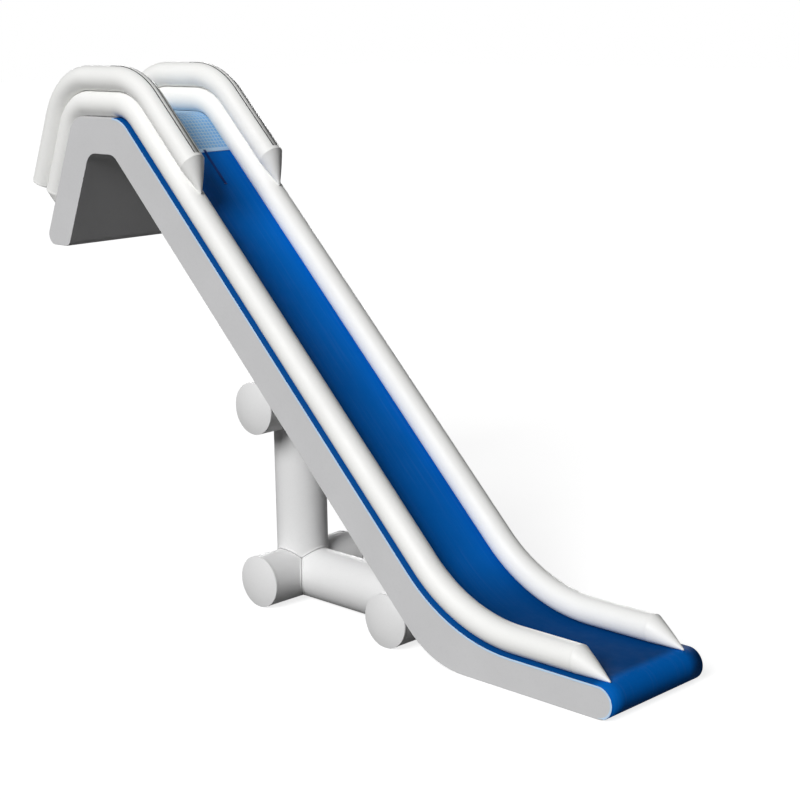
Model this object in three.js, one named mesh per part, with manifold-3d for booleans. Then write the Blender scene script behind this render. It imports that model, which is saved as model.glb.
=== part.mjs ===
// Inflatable water slide for a boat's side deck, in millimetres with +Z up.
// An air slab is bent into a hook over the rail, a long 45 degree slope and a flat run-out.
// Guard tubes line both edges, and a frame of air tubes props the slope from the floor.
// +X runs down the slide, +Y is the rider's left, and z = 0 is the plane that it stands on.
import * as THREE from "three";
import { mergeVertices } from "three/addons/utils/BufferGeometryUtils.js";
import Module from "manifold-3d";

const wasm = await Module();
wasm.setup();

const DEGREE = Math.PI / 180;
const QUARTER_TURN = 90 * DEGREE;
const FULL_TURN = 360 * DEGREE;

// Clearances
const seatGap = 0.3; // left between two pieces that touch
const cutOverrun = 60; // how far a cutting solid runs past what it cuts

// Points nearer than this are one. It isn't round, so that no round size lies between two cells.
const weldTolerance = 7e-4;

// Fineness of the faceted curves
const bendStepAngle = 7.5 * DEGREE;
const guardSides = 20;
const frameSides = 32;
const turnedSides = 20;
const domeShares = [0, 0.5, 0.8, 0.96];

// Air slab
const slabWidth = 1494;
const slabThickness = 436;
const runoutThickness = 345;
const deckTopHeight = 5540;
const flatTopLength = 953;
const slopeAngle = 45 * DEGREE;
const legLeanAngle = 23.5 * DEGREE;
const legDrop = 1605;
const runoutLength = 1955;
const legFootOuterRadius = 120;
const legFootInnerRadius = 100;
const deckBendRadius = 300;
const slopeBendRadius = 400;
const runoutBendRadius = 2000;
const heelRadius = 1100;
const ceilingRadius = 200;

// Sliding sheet, landing mat, edge tape and grab strap
const sheetThickness = 2;
const sheetHemHeight = 20;
const matThickness = 10;
const matWidth = 1080;
const matSlopeLength = 620;
const matClearance = 1.5;
const edgeTapeWidth = 30;
const edgeTapeThickness = 2.7;
const grabStrapWidth = 38;
const grabStrapThickness = 3;
const grabStrapLength = 510;
const grabStrapOffset = 156;

// Guard tubes
const guardRadius = 150;
const guardSpacing = 1200;
const lowerGuardLegLength = 1113;
const upperGuardLegExtraLength = 22;
const upperGuardSlopeLength = 1140;
const runoutConeLength = 370;
const runoutConeReachLength = 40;
const slopeConeLength = 330;
const deckConeLength = 205;
const coneTipRadius = 8;
const guardDomeHeight = 45;

// Support frame
const frameRadius = 300;
const frameTubeLength = 1400;
const frameDomeHeight = 50;
const upperFrameHeight = 2350;

// Bridging tapes that tie the frame to the slab
const bridgeThickness = 3;
const bridgeFlangeWidth = 70;
const bridgeLength = 1200;
const bridgeArcSteps = 4;

// Inflation valve
const valveFlangeRadius = 40;
const valveFlangeThickness = 4;
const valveSkirtDepth = 8;
const valveNeckRadius = 27;
const valveNeckHeight = 36;
const valveBoreRadius = 21;
const valveFloorThickness = 3.7;
const valveSeatHeight = 17.3;
const valveSeatThickness = 3;
const valveSeatHoleRadius = 11;
const poppetDiscRadius = 14;
const poppetDiscThickness = 3;
const poppetStemRadius = 3;
const poppetStemHeight = 5;
const poppetHeadRadius = 5;
const poppetHeadThickness = 2;
const poppetPinRadius = 2.5;
const poppetPinLength = 3;
const springRadius = 8.5;
const springWireRadius = 0.7;
const springCurls = 4;
const springCurlSteps = 8;
const springWireSides = 5;
const capRadius = 29;
const capThickness = 5;
const capCrown = 1.6;
const capPlugRadius = 20;
const capPlugDepth = 4;
const capTabLength = 9;
const capTabWidth = 16;
const hingeReach = 34;
const hingePinRadius = 2;
const hingePinClearance = 0.35;
const hingeKnuckleRadius = 4.6;
const hingeKnuckleWidth = 12;
const hingeEarWidth = 4;
const hingeSideGap = 0.5;
const hingeWebRise = 8;

// Where the valves sit
const slabValveSlopeLength = 1660;
const slabValveOffset = 330;
const frameValveHeight = 1250;
const guardValveLegLength = 797;

// D-ring and its welded patch
const ringWireRadius = 4;
const ringHalfWidth = 24;
const ringReach = 34;
const ringCornerRadius = 6;
const ringBowRadius = 23;
const ringWireSides = 6;
const ringHoleClearance = 0.5;
const ringPatchRadius = 55;
const ringPatchThickness = 3;
const ringKeeperWall = 3.5;
const ringKeeperWidth = 30;
const ringSpacing = 900;
const upperRingTubeReach = 1476; // up the slope from where the upper frame tube touches the slab
const lowerRingTubeReach = 1198; // up the slope from where the front frame tube touches it

// Colours and finishes
const finish = (color, roughness, metalness = 0) =>
  new THREE.MeshStandardMaterial({ color, roughness, metalness });
const slabGrey = finish(0xc2c2c2, 0.55);
const tubeWhite = finish(0xf1f0ee, 0.45);
const sheetBlue = finish(0x00509b, 0.4);
const tapeBlue = finish(0x9cc8ec, 0.5);
const matBlue = finish(0x73a5d7, 0.8);
const strapNavy = finish(0x0a2a66, 0.8);
const frameGrey = finish(0xd9d9d9, 0.5);
const valveGrey = finish(0x5c6066, 0.5);
const valveBlack = finish(0x1c1d20, 0.45);
const steel = finish(0xc8cacc, 0.3, 1);

const slide = new THREE.Group();

// Points and directions in the side view, x along and y up

const flat = (x, y) => new THREE.Vector2(x, y);
const along = (from, direction, distance) => from.clone().addScaledVector(direction, distance);
const level = flat(1, 0);

// The point where two lines, each a point and a direction, cross.
function meet(p, directionP, q, directionQ) {
  const turn = directionP.cross(directionQ);
  return along(p, directionP, q.clone().sub(p).cross(directionQ) / turn);
}

// The unit normal on the left of the way from a to b.
function leftNormal(a, b) {
  const way = b.clone().sub(a).normalize();
  return flat(-way.y, way.x);
}

// How far a fillet reaches from its corner along each side.
function filletReach(before, corner, after, radius) {
  const inward = corner.clone().sub(before).normalize();
  const outward = after.clone().sub(corner).normalize();
  const turn = Math.acos(THREE.MathUtils.clamp(inward.dot(outward), -1, 1));
  return { reach: radius * Math.tan(turn / 2), turn, inward, outward };
}

// The points of an arc that rounds one corner.
function filletPoints(before, corner, after, radius) {
  const { reach, turn, inward, outward } = filletReach(before, corner, after, radius);
  const start = along(corner, inward, -reach);
  const side = Math.sign(inward.cross(outward));
  const centre = along(start, flat(-inward.y, inward.x), side * radius);
  const steps = Math.max(2, Math.round(turn / bendStepAngle));
  return Array.from({ length: steps + 1 }, (_, i) =>
    start.clone().rotateAround(centre, (side * turn * i) / steps),
  );
}

// A line or a closed outline with each corner rounded by its radius, or left sharp at 0.
// Where two fillets meet, the point that they share is kept once.
function rounded(corners) {
  const last = corners.length - 1;
  const points = corners.flatMap(({ at, radius }, i) => {
    if (!radius) return [at.clone()];
    const before = corners[i ? i - 1 : last].at;
    const after = corners[i < last ? i + 1 : 0].at;
    return filletPoints(before, at, after, radius);
  });
  return points.filter((point, i) => !i || point.distanceTo(points[i - 1]) > weldTolerance);
}

// Unit-width mitre normals at every point of an open line, on its left.
function mitres(line) {
  return line.map((point, i) => {
    const before = i ? leftNormal(line[i - 1], point) : leftNormal(point, line[1]);
    const after = i < line.length - 1 ? leftNormal(point, line[i + 1]) : before;
    const middle = before.clone().add(after).normalize();
    return middle.divideScalar(middle.dot(before));
  });
}

const shifted = (line, distance) => {
  const normals = mitres(line);
  return line.map((point, i) => along(point, normals[i], distance));
};

// The outline of a band that lies between two distances to the left of a line.
const bandOutline = (line, low, high) => [
  ...shifted(line, low),
  ...shifted(line, high).reverse(),
];

// Solids

// A closed mesh as a manifold-3d solid, with its shared vertices merged.
function solidOf(geometry) {
  const bare = new THREE.BufferGeometry();
  bare.setAttribute("position", geometry.getAttribute("position"));
  bare.setIndex(geometry.getIndex());
  const merged = mergeVertices(bare, weldTolerance);
  const mesh = new wasm.Mesh({
    numProp: 3,
    vertProperties: new Float32Array(merged.getAttribute("position").array),
    triVerts: new Uint32Array(merged.getIndex().array),
  });
  return new wasm.Manifold(mesh);
}

// A solid as geometry that a mesh can hold.
function geometryOf(solid) {
  const mesh = solid.getMesh();
  const stride = mesh.numProp;
  const position = new Float32Array(mesh.numVert * 3);
  for (let i = 0; i < mesh.numVert; i++)
    position.set(mesh.vertProperties.subarray(i * stride, i * stride + 3), i * 3);
  const geometry = new THREE.BufferGeometry();
  geometry.setAttribute("position", new THREE.BufferAttribute(position, 3));
  geometry.setIndex(new THREE.BufferAttribute(new Uint32Array(mesh.triVerts), 1));
  return geometry;
}

const joined = (...pieces) => pieces.map(solidOf).reduce((a, b) => a.add(b));
const cutBy = (solid, ...cutters) => cutters.map(solidOf).reduce((a, b) => a.subtract(b), solid);

// A side-view outline, with optional holes, made solid between two places across the slide.
function prism(outline, fromY, toY, holes = []) {
  const shape = new THREE.Shape(outline);
  shape.holes = holes.map((hole) => new THREE.Path(hole));
  const geometry = new THREE.ExtrudeGeometry(shape, { depth: toY - fromY, bevelEnabled: false });
  return geometry.rotateX(QUARTER_TURN).translate(0, toY, 0);
}

// Rings of equal count joined in a row, with both ends closed or the row closed on itself.
function skinned(rings, loop = false) {
  const sides = rings[0].length;
  const points = rings.flat();
  const index = [];
  const rows = loop ? rings.length : rings.length - 1;
  for (let row = 0; row < rows; row++)
    for (let side = 0; side < sides; side++) {
      const next = (side + 1) % sides;
      const a = row * sides;
      const b = ((row + 1) % rings.length) * sides;
      index.push(a + side, a + next, b + side, a + next, b + next, b + side);
    }
  if (!loop)
    for (let side = 1; side < sides - 1; side++) {
      const end = (rings.length - 1) * sides;
      index.push(0, side + 1, side, end, end + side, end + side + 1);
    }
  const geometry = new THREE.BufferGeometry().setFromPoints(points);
  return geometry.setIndex(index);
}

// A ring in the plane that the side-view normal and the Y axis span.
function crossRing(centre, normal, radius, y, sides) {
  return Array.from({ length: sides }, (_, i) => {
    const turn = (FULL_TURN * i) / sides;
    const rise = radius * Math.sin(turn);
    return new THREE.Vector3(
      centre.x + normal.x * rise,
      y + radius * Math.cos(turn),
      centre.y + normal.y * rise,
    );
  });
}

// A profile of radius and height turned about +Z.
function turned(profile, sides = turnedSides) {
  const points = profile.map(([radius, height]) => flat(radius, height));
  return new THREE.LatheGeometry(points, sides).rotateX(QUARTER_TURN);
}

function place(name, geometry, material, parent = slide) {
  const mesh = new THREE.Mesh(geometry, material);
  mesh.name = name;
  parent.add(mesh);
}

const sides = [
  { word: "right", sign: -1 },
  { word: "left", sign: 1 },
];

// Side view of the slab, from the foot of the deck leg, over the rail, to the nose

const legDown = flat(-Math.sin(legLeanAngle), -Math.cos(legLeanAngle));
const legOut = flat(-Math.cos(legLeanAngle), Math.sin(legLeanAngle));
const slopeDown = flat(Math.cos(slopeAngle), -Math.sin(slopeAngle));
const slopeOut = flat(Math.sin(slopeAngle), Math.cos(slopeAngle));

const noseRadius = runoutThickness / 2;
const slopeTop = flat(0, deckTopHeight);
const legTop = flat(-flatTopLength, deckTopHeight);
const runoutTop = meet(slopeTop, slopeDown, flat(0, runoutThickness), level);
const noseCentreX = runoutTop.x + runoutLength;
const noseX = noseCentreX + noseRadius;
const footLine = flat(0, deckTopHeight - legDrop);
const ceilingLine = flat(0, deckTopHeight - slabThickness);
const legInside = along(legTop, legOut, -slabThickness);
const slopeInside = along(slopeTop, slopeOut, -slabThickness);
const legOuterFoot = meet(legTop, legDown, footLine, level);
const legInnerFoot = meet(legInside, legDown, footLine, level);

const slabOutline = rounded([
  { at: legOuterFoot, radius: legFootOuterRadius },
  { at: legInnerFoot, radius: legFootInnerRadius },
  { at: meet(legInside, legDown, ceilingLine, level), radius: ceilingRadius },
  { at: meet(slopeInside, slopeDown, ceilingLine, level), radius: ceilingRadius },
  { at: meet(slopeInside, slopeDown, flat(0, 0), level), radius: heelRadius },
  { at: flat(noseX, 0), radius: noseRadius },
  { at: flat(noseX, runoutThickness), radius: noseRadius },
  { at: runoutTop, radius: runoutBendRadius },
  { at: slopeTop, radius: slopeBendRadius },
  { at: legTop, radius: deckBendRadius },
]);

const slabHalf = slabWidth / 2;
place("slide_slab", prism(slabOutline, -slabHalf, slabHalf), slabGrey);

// Sheet, tapes and mat follow the top of the slab from the deck to the nose

const slopeReach = slopeBendRadius * Math.tan(slopeAngle / 2);
const deckReach = deckBendRadius * Math.tan((QUARTER_TURN - legLeanAngle) / 2);
const sheetLine = rounded([
  { at: flat(-slopeReach, deckTopHeight), radius: 0 },
  { at: slopeTop, radius: slopeBendRadius },
  { at: runoutTop, radius: runoutBendRadius },
  { at: flat(noseX, runoutThickness), radius: noseRadius },
  { at: flat(noseX, 0), radius: noseRadius },
  { at: flat(noseCentreX, 0), radius: 0 },
]).filter((point) => point.y > sheetHemHeight);
const matLine = rounded([
  { at: flat(deckReach - flatTopLength, deckTopHeight), radius: 0 },
  { at: slopeTop, radius: slopeBendRadius },
  { at: along(slopeTop, slopeDown, matSlopeLength), radius: 0 },
]);
const matBay = [
  along(matLine[0], level, -cutOverrun),
  ...matLine.slice(1, -1),
  along(matLine.at(-1), slopeDown, matClearance),
];
const sheetTop = seatGap + sheetThickness;

function makeSheet() {
  const blank = prism(bandOutline(sheetLine, seatGap, sheetTop), -slabHalf, slabHalf);
  const bayHalf = matWidth / 2 + matClearance;
  const bay = prism(bandOutline(matBay, -cutOverrun, cutOverrun), -bayHalf, bayHalf);
  place("sliding_sheet", geometryOf(cutBy(solidOf(blank), bay)), sheetBlue);
}

function makeMat() {
  const outline = bandOutline(matLine, seatGap, seatGap + matThickness);
  place("landing_mat", prism(outline, -matWidth / 2, matWidth / 2), matBlue);
}

function makeEdgeTapes() {
  const outline = bandOutline(sheetLine, -edgeTapeWidth, 0);
  const inner = slabHalf + seatGap;
  const outer = inner + edgeTapeThickness;
  for (const { word, sign } of sides) {
    const ends = [sign * inner, sign * outer].sort((a, b) => a - b);
    place(`edge_tape_${word}`, prism(outline, ...ends), tapeBlue);
  }
}

function makeGrabStrap() {
  const start = along(slopeTop, slopeDown, matSlopeLength + 2 * matClearance);
  const line = [start, along(start, slopeDown, grabStrapLength)];
  const low = sheetTop + seatGap;
  const outline = bandOutline(line, low, low + grabStrapThickness);
  const centre = grabStrapOffset;
  const half = grabStrapWidth / 2;
  place("grab_strap", prism(outline, centre - half, centre + half), strapNavy);
}

makeSheet();
makeMat();
makeEdgeTapes();
makeGrabStrap();

// Guard tubes, two stacked on each edge of the slab

const lowerGuardRise = sheetTop + seatGap + guardRadius;
const upperGuardRise = lowerGuardRise + 2 * guardRadius + seatGap;
const guardY = guardSpacing / 2;

// The centre line of a guard tube, as the line of the slab's top moved out by its rise.
function guardLine(rise, legLength, end) {
  const corners = [
    { at: along(legTop, legDown, legLength), radius: 0 },
    { at: legTop, radius: deckBendRadius },
    { at: slopeTop, radius: slopeBendRadius },
  ];
  if (end.onSlope) corners.push({ at: along(slopeTop, slopeDown, end.onSlope), radius: 0 });
  else {
    corners.push({ at: runoutTop, radius: runoutBendRadius });
    corners.push({ at: flat(end.onRunout, runoutThickness), radius: 0 });
  }
  return shifted(rounded(corners), rise);
}

function guardTube(line, y) {
  const normals = mitres(line);
  return skinned(line.map((at, i) => crossRing(at, normals[i], guardRadius, y, guardSides)));
}

// An oblique cone whose underside carries on straight from the tube's to its tip.
function guardCone(end, way, out, length, y) {
  const base = along(end, way, seatGap);
  const tip = along(along(base, way, length), out, coneTipRadius - guardRadius);
  const rings = [
    crossRing(base, out, guardRadius, y, guardSides),
    crossRing(tip, out, coneTipRadius, y, guardSides),
  ];
  return skinned(way.cross(out) > 0 ? rings : rings.reverse());
}

// The radius and the height of each ring of a shallow dome, from its base to its crown.
const domeProfile = (radius, height) =>
  domeShares.map((share) => [radius * Math.sqrt(1 - share * share), height * share]);

// A shallow dome on the deck end of a guard tube.
function guardDome(end, way, out, y) {
  const base = along(end, way, seatGap);
  const rings = domeProfile(guardRadius, guardDomeHeight).map(([radius, height]) =>
    crossRing(along(base, way, height), out, radius, y, guardSides),
  );
  return skinned(way.cross(out) > 0 ? rings : rings.reverse());
}

function makeGuards() {
  const lower = guardLine(lowerGuardRise, lowerGuardLegLength, {
    onRunout: noseCentreX + runoutConeReachLength - runoutConeLength,
  });
  const upperLegLength = lowerGuardLegLength + upperGuardLegExtraLength;
  const upper = guardLine(upperGuardRise, upperLegLength, { onSlope: upperGuardSlopeLength });
  for (const { word, sign } of sides) {
    const y = sign * guardY;
    place(`guard_tube_lower_${word}`, guardTube(lower, y), tubeWhite);
    place(`guard_tube_upper_${word}`, guardTube(upper, y), tubeWhite);
    const runoutCone = guardCone(lower.at(-1), level, flat(0, 1), runoutConeLength, y);
    place(`guard_cone_runout_${word}`, runoutCone, tubeWhite);
    const slopeCone = guardCone(upper.at(-1), slopeDown, slopeOut, slopeConeLength, y);
    place(`guard_cone_slope_${word}`, slopeCone, tubeWhite);
    const deckCone = guardCone(lower[0], legDown, legOut, deckConeLength, y);
    place(`guard_cone_deck_${word}`, deckCone, tubeWhite);
    place(`guard_dome_deck_${word}`, guardDome(upper[0], legDown, legOut, y), tubeWhite);
  }
}

makeGuards();

// Support frame of equal tubes that stand on flats and touch the slab on a flat

const facetShare = Math.cos(Math.PI / frameSides);
const frameFlat = frameRadius * facetShare;
const frameSeat = along(slopeInside, slopeOut, -(frameFlat + seatGap));
const upperAxis = meet(frameSeat, slopeDown, flat(0, upperFrameHeight), level);
const frontAxis = meet(frameSeat, slopeDown, flat(0, frameFlat), level);
const rearAxis = flat(upperAxis.x, frameFlat);
const frameHalf = frameTubeLength / 2;

// Where the slab's underside touches the frame tube on an axis.
const slabContact = (axis) => along(axis, slopeOut, frameFlat + seatGap);

// A frame tube along Y, grown by a clearance where it cuts another.
function crossTube(axis, length, grow = 0) {
  const radius = frameRadius + grow / facetShare;
  return new THREE.CylinderGeometry(radius, radius, length, frameSides)
    .rotateY(Math.PI / frameSides)
    .translate(axis.x, 0, axis.y);
}

// A large block that fills one side of the mitre plane between post and strut.
function mitreBlock(side) {
  const size = 4 * frameRadius + upperFrameHeight + frontAxis.x - rearAxis.x;
  return new THREE.BoxGeometry(size, size, size)
    .translate(0, 0, (side * (size - seatGap)) / 2)
    .rotateY(QUARTER_TURN / 2 + QUARTER_TURN)
    .translate(rearAxis.x, 0, rearAxis.y);
}

function makeFrameEnds(name, axis) {
  for (const { word, sign } of sides) {
    const dome = domeProfile(frameRadius, frameDomeHeight);
    const cap = turned([[0, 0], ...dome, [0, dome.at(-1)[1]]], frameSides)
      .rotateZ(Math.PI / frameSides)
      .rotateX(-sign * QUARTER_TURN)
      .translate(axis.x, sign * (frameHalf + seatGap), axis.y);
    place(`end_cap_${name}_${word}`, cap, frameGrey);
  }
}

function makeFrame() {
  const cutLength = frameTubeLength + cutOverrun;
  const rearCut = crossTube(rearAxis, cutLength, seatGap);
  const frontCut = crossTube(frontAxis, cutLength, seatGap);
  const upperCut = crossTube(upperAxis, cutLength, seatGap);
  const postHeight = upperAxis.y - rearAxis.y;
  const post = new THREE.CylinderGeometry(frameRadius, frameRadius, postHeight, frameSides)
    .rotateY(Math.PI / frameSides)
    .rotateX(QUARTER_TURN)
    .translate(rearAxis.x, 0, (rearAxis.y + upperAxis.y) / 2);
  const strutLength = frontAxis.x - rearAxis.x;
  const strut = new THREE.CylinderGeometry(frameRadius, frameRadius, strutLength, frameSides)
    .rotateY(Math.PI / frameSides)
    .rotateZ(QUARTER_TURN)
    .translate((rearAxis.x + frontAxis.x) / 2, 0, rearAxis.y);
  const postSolid = cutBy(solidOf(post), rearCut, upperCut, mitreBlock(1));
  const strutSolid = cutBy(solidOf(strut), rearCut, frontCut, mitreBlock(-1));
  place("support_post", geometryOf(postSolid), frameGrey);
  place("support_strut", geometryOf(strutSolid), frameGrey);
  for (const [name, axis] of [["rear", rearAxis], ["front", frontAxis], ["upper", upperAxis]]) {
    place(`cross_tube_${name}`, crossTube(axis, frameTubeLength), frameGrey);
    makeFrameEnds(name, axis);
  }
}

// The outline of a bridging tape in the wedge between the slab and a frame tube.
// Its u runs along the slab from the line of contact, and n away from the slab.
function bridgeOutline() {
  const centre = frameFlat + seatGap;
  const inner = frameRadius + seatGap;
  const outer = inner + bridgeThickness;
  const top = seatGap + bridgeThickness;
  const rootAngle = Math.acos((centre - seatGap) / inner);
  const elbowAngle = Math.acos((centre - top) / outer);
  const tailAngle = elbowAngle + bridgeFlangeWidth / frameRadius;
  const arc = (radius, from, to) =>
    Array.from({ length: bridgeArcSteps + 1 }, (_, i) => {
      const turn = from + ((to - from) * i) / bridgeArcSteps;
      return flat(radius * Math.sin(turn), centre - radius * Math.cos(turn));
    });
  const reach = outer * Math.sin(elbowAngle) + bridgeFlangeWidth;
  return [
    flat(reach, seatGap),
    ...arc(inner, rootAngle, tailAngle),
    ...arc(outer, tailAngle, elbowAngle),
    flat(reach, top),
  ];
}

function makeBridges() {
  const outline = bridgeOutline();
  for (const [name, axis] of [["upper", upperAxis], ["front", frontAxis]]) {
    const contact = slabContact(axis);
    for (const [word, sign] of [["above", -1], ["below", 1]]) {
      const points = outline.map(({ x, y }) =>
        along(along(contact, slopeDown, sign * x), slopeOut, -y),
      );
      const way = sign > 0 ? points : points.reverse();
      const tape = prism(way, -bridgeLength / 2, bridgeLength / 2);
      place(`bridge_tape_${name}_${word}`, tape, slabGrey);
    }
  }
}

makeFrame();
makeBridges();

// Inflation valves, each modelled on +Z over the skin that carries it

const valveBase = seatGap;
const valveFlangeTop = valveBase + valveFlangeThickness;
const valveFloor = valveBase + valveFloorThickness;
const valveSeatTop = valveSeatHeight + valveSeatThickness;
const capUnderside = valveNeckHeight + seatGap;
const hingeHeight = capUnderside + capThickness / 2;

const blockAt = (size, centre) => new THREE.BoxGeometry(...size).translate(...centre);
const rodAlongY = (radius, length, x, z, y = 0) =>
  new THREE.CylinderGeometry(radius, radius, length, turnedSides / 2).translate(x, y, z);

// Flange, neck, seat ring and the two hinge ears with the pin between them.
// On a round tube the flange has a skirt that is cut to the tube.
function valveBody(skinRadius) {
  const bottom = skinRadius ? valveBase - valveSkirtDepth : valveBase;
  const shell = turned([
    [0, bottom],
    [valveFlangeRadius, bottom],
    [valveFlangeRadius, valveFlangeTop],
    [valveNeckRadius, valveFlangeTop],
    [valveNeckRadius, valveNeckHeight],
    [valveBoreRadius, valveNeckHeight],
    [valveBoreRadius, valveSeatTop],
    [valveSeatHoleRadius, valveSeatTop],
    [valveSeatHoleRadius, valveSeatHeight],
    [valveBoreRadius, valveSeatHeight],
    [valveBoreRadius, valveFloor],
    [0, valveFloor],
  ]);
  const earInner = valveNeckRadius - hingeEarWidth / 2;
  const earOuter = hingeReach + hingeKnuckleRadius;
  const earLow = valveFlangeTop + hingeWebRise;
  const earY = hingeKnuckleWidth / 2 + hingeSideGap + hingeEarWidth / 2;
  const pieces = [shell, rodAlongY(hingePinRadius, 2 * earY, -hingeReach, hingeHeight)];
  for (const { sign } of sides) {
    const web = [earOuter - earInner, hingeEarWidth, valveNeckHeight - earLow];
    const webAt = [-(earOuter + earInner) / 2, sign * earY, (valveNeckHeight + earLow) / 2];
    pieces.push(blockAt(web, webAt));
    const eye = rodAlongY(hingeKnuckleRadius, hingeEarWidth, -hingeReach, hingeHeight, sign * earY);
    pieces.push(eye);
  }
  const body = joined(...pieces);
  return skinRadius ? cutBy(body, skinCylinder(skinRadius)) : body;
}

// The tube that a valve's skirt is cut to, with its axis along local X.
function skinCylinder(radius) {
  const round = (radius + seatGap) / Math.cos(Math.PI / (2 * frameSides));
  return new THREE.CylinderGeometry(round, round, 4 * valveFlangeRadius, 2 * frameSides)
    .rotateZ(QUARTER_TURN)
    .translate(0, 0, -radius);
}

const poppetTop = valveSeatHeight - seatGap;
const poppetUnderside = poppetTop - poppetDiscThickness;

function valvePoppet() {
  const headLow = valveSeatTop + poppetStemHeight - poppetHeadThickness;
  return turned([
    [0, poppetUnderside - poppetPinLength],
    [poppetPinRadius, poppetUnderside - poppetPinLength],
    [poppetPinRadius, poppetUnderside],
    [poppetDiscRadius, poppetUnderside],
    [poppetDiscRadius, poppetTop],
    [poppetStemRadius, poppetTop],
    [poppetStemRadius, headLow],
    [poppetHeadRadius, headLow],
    [poppetHeadRadius, headLow + poppetHeadThickness],
    [0, headLow + poppetHeadThickness],
  ]);
}

// A wire wound as a helix between the valve's floor and the poppet.
function valveSpring() {
  const low = valveFloor + seatGap + springWireRadius;
  const high = poppetUnderside - seatGap - springWireRadius;
  const steps = springCurls * springCurlSteps;
  const climb = (high - low) / (FULL_TURN * springCurls);
  const rings = Array.from({ length: steps + 1 }, (_, i) => {
    const turn = (FULL_TURN * i) / springCurlSteps;
    const centre = new THREE.Vector3(
      springRadius * Math.cos(turn),
      springRadius * Math.sin(turn),
      low + climb * turn,
    );
    const outward = new THREE.Vector3(Math.cos(turn), Math.sin(turn), 0);
    const way = new THREE.Vector3(-springRadius * outward.y, springRadius * outward.x, climb);
    const upward = outward.clone().cross(way.normalize()).negate();
    return Array.from({ length: springWireSides }, (_, k) => {
      const spin = (FULL_TURN * k) / springWireSides;
      return centre
        .clone()
        .addScaledVector(outward, springWireRadius * Math.cos(spin))
        .addScaledVector(upward, springWireRadius * Math.sin(spin));
    });
  });
  return skinned(rings);
}

// Lid with a plug for the bore, a thumb tab and the knuckle that turns on the pin.
function valveCap() {
  const plugLow = capUnderside - capPlugDepth;
  const capTop = capUnderside + capThickness;
  const lid = turned([
    [0, plugLow],
    [capPlugRadius, plugLow],
    [capPlugRadius, capUnderside],
    [capRadius, capUnderside],
    [capRadius, capTop - capCrown],
    [capRadius - capCrown, capTop],
    [0, capTop + capCrown],
  ]);
  const tabSize = [2 * capTabLength, capTabWidth, capThickness / 2];
  const tab = blockAt(tabSize, [capRadius, 0, capUnderside + capThickness / 4]);
  const armLength = hingeReach - capPlugRadius;
  const armSize = [armLength, hingeKnuckleWidth, capThickness];
  const arm = blockAt(armSize, [-hingeReach + armLength / 2, 0, hingeHeight]);
  const knuckle = rodAlongY(hingeKnuckleRadius, hingeKnuckleWidth, -hingeReach, hingeHeight);
  const hole = rodAlongY(
    hingePinRadius + hingePinClearance,
    2 * hingeKnuckleWidth,
    -hingeReach,
    hingeHeight,
  );
  return cutBy(joined(lid, tab, arm, knuckle), hole);
}

// The group's +Z is the skin's outward normal, and its +X points away from the cap's hinge.
function valveSeat(x, y, z, outward, hingeAway) {
  const group = new THREE.Group();
  const across = outward.clone().cross(hingeAway);
  group.applyMatrix4(new THREE.Matrix4().makeBasis(hingeAway, across, outward));
  group.position.set(x, y, z);
  slide.add(group);
  return group;
}

const inSpace = ({ x, y }) => new THREE.Vector3(x, 0, y);

function makeValve(name, seat, skinRadius = 0) {
  place(`${name}_valve_body`, geometryOf(valveBody(skinRadius)), valveGrey, seat);
  place(`${name}_valve_poppet`, valvePoppet(), valveBlack, seat);
  place(`${name}_valve_spring`, valveSpring(), steel, seat);
  place(`${name}_valve_cap`, geometryOf(valveCap()), valveBlack, seat);
}

function makeValves() {
  const slabSpot = along(slopeInside, slopeDown, slabValveSlopeLength);
  const underSlope = inSpace(slopeOut).negate();
  const slabSeat = valveSeat(slabSpot.x, slabValveOffset, slabSpot.y, underSlope, inSpace(slopeDown));
  makeValve("slab", slabSeat);
  const postBack = rearAxis.x - frameRadius;
  const backward = new THREE.Vector3(-1, 0, 0);
  const downward = new THREE.Vector3(0, 0, -1);
  const frameSpot = valveSeat(postBack, 0, frameValveHeight, backward, downward);
  makeValve("frame", frameSpot, frameRadius);
  const guardBack = along(legTop, legOut, upperGuardRise + guardRadius);
  const guardSpot = along(guardBack, legDown, guardValveLegLength);
  for (const { word, sign } of sides) {
    const [out, down] = [inSpace(legOut), inSpace(legDown)];
    const seat = valveSeat(guardSpot.x, sign * guardY, guardSpot.y, out, down);
    makeValve(`guard_${word}`, seat, guardRadius);
  }
}

makeValves();

// D-rings that hang from welded patches under the slope

const ringBarHeight = seatGap + ringPatchThickness + ringKeeperWall + ringWireRadius;
const ringHoleRadius = ringWireRadius + ringHoleClearance;

function ringPatch() {
  const disc = turned([
    [0, seatGap],
    [ringPatchRadius, seatGap],
    [ringPatchRadius, seatGap + ringPatchThickness],
    [0, seatGap + ringPatchThickness],
  ]);
  const wide = ringHoleRadius + ringKeeperWall;
  const arch = rodAlongY(wide, ringKeeperWidth, 0, ringBarHeight);
  const foot = blockAt(
    [2 * wide, ringKeeperWidth, ringBarHeight - seatGap],
    [0, 0, (ringBarHeight + seatGap) / 2],
  );
  const hole = rodAlongY(ringHoleRadius, 2 * ringKeeperWidth, 0, ringBarHeight);
  return geometryOf(cutBy(joined(disc, arch, foot), hole));
}

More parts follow.
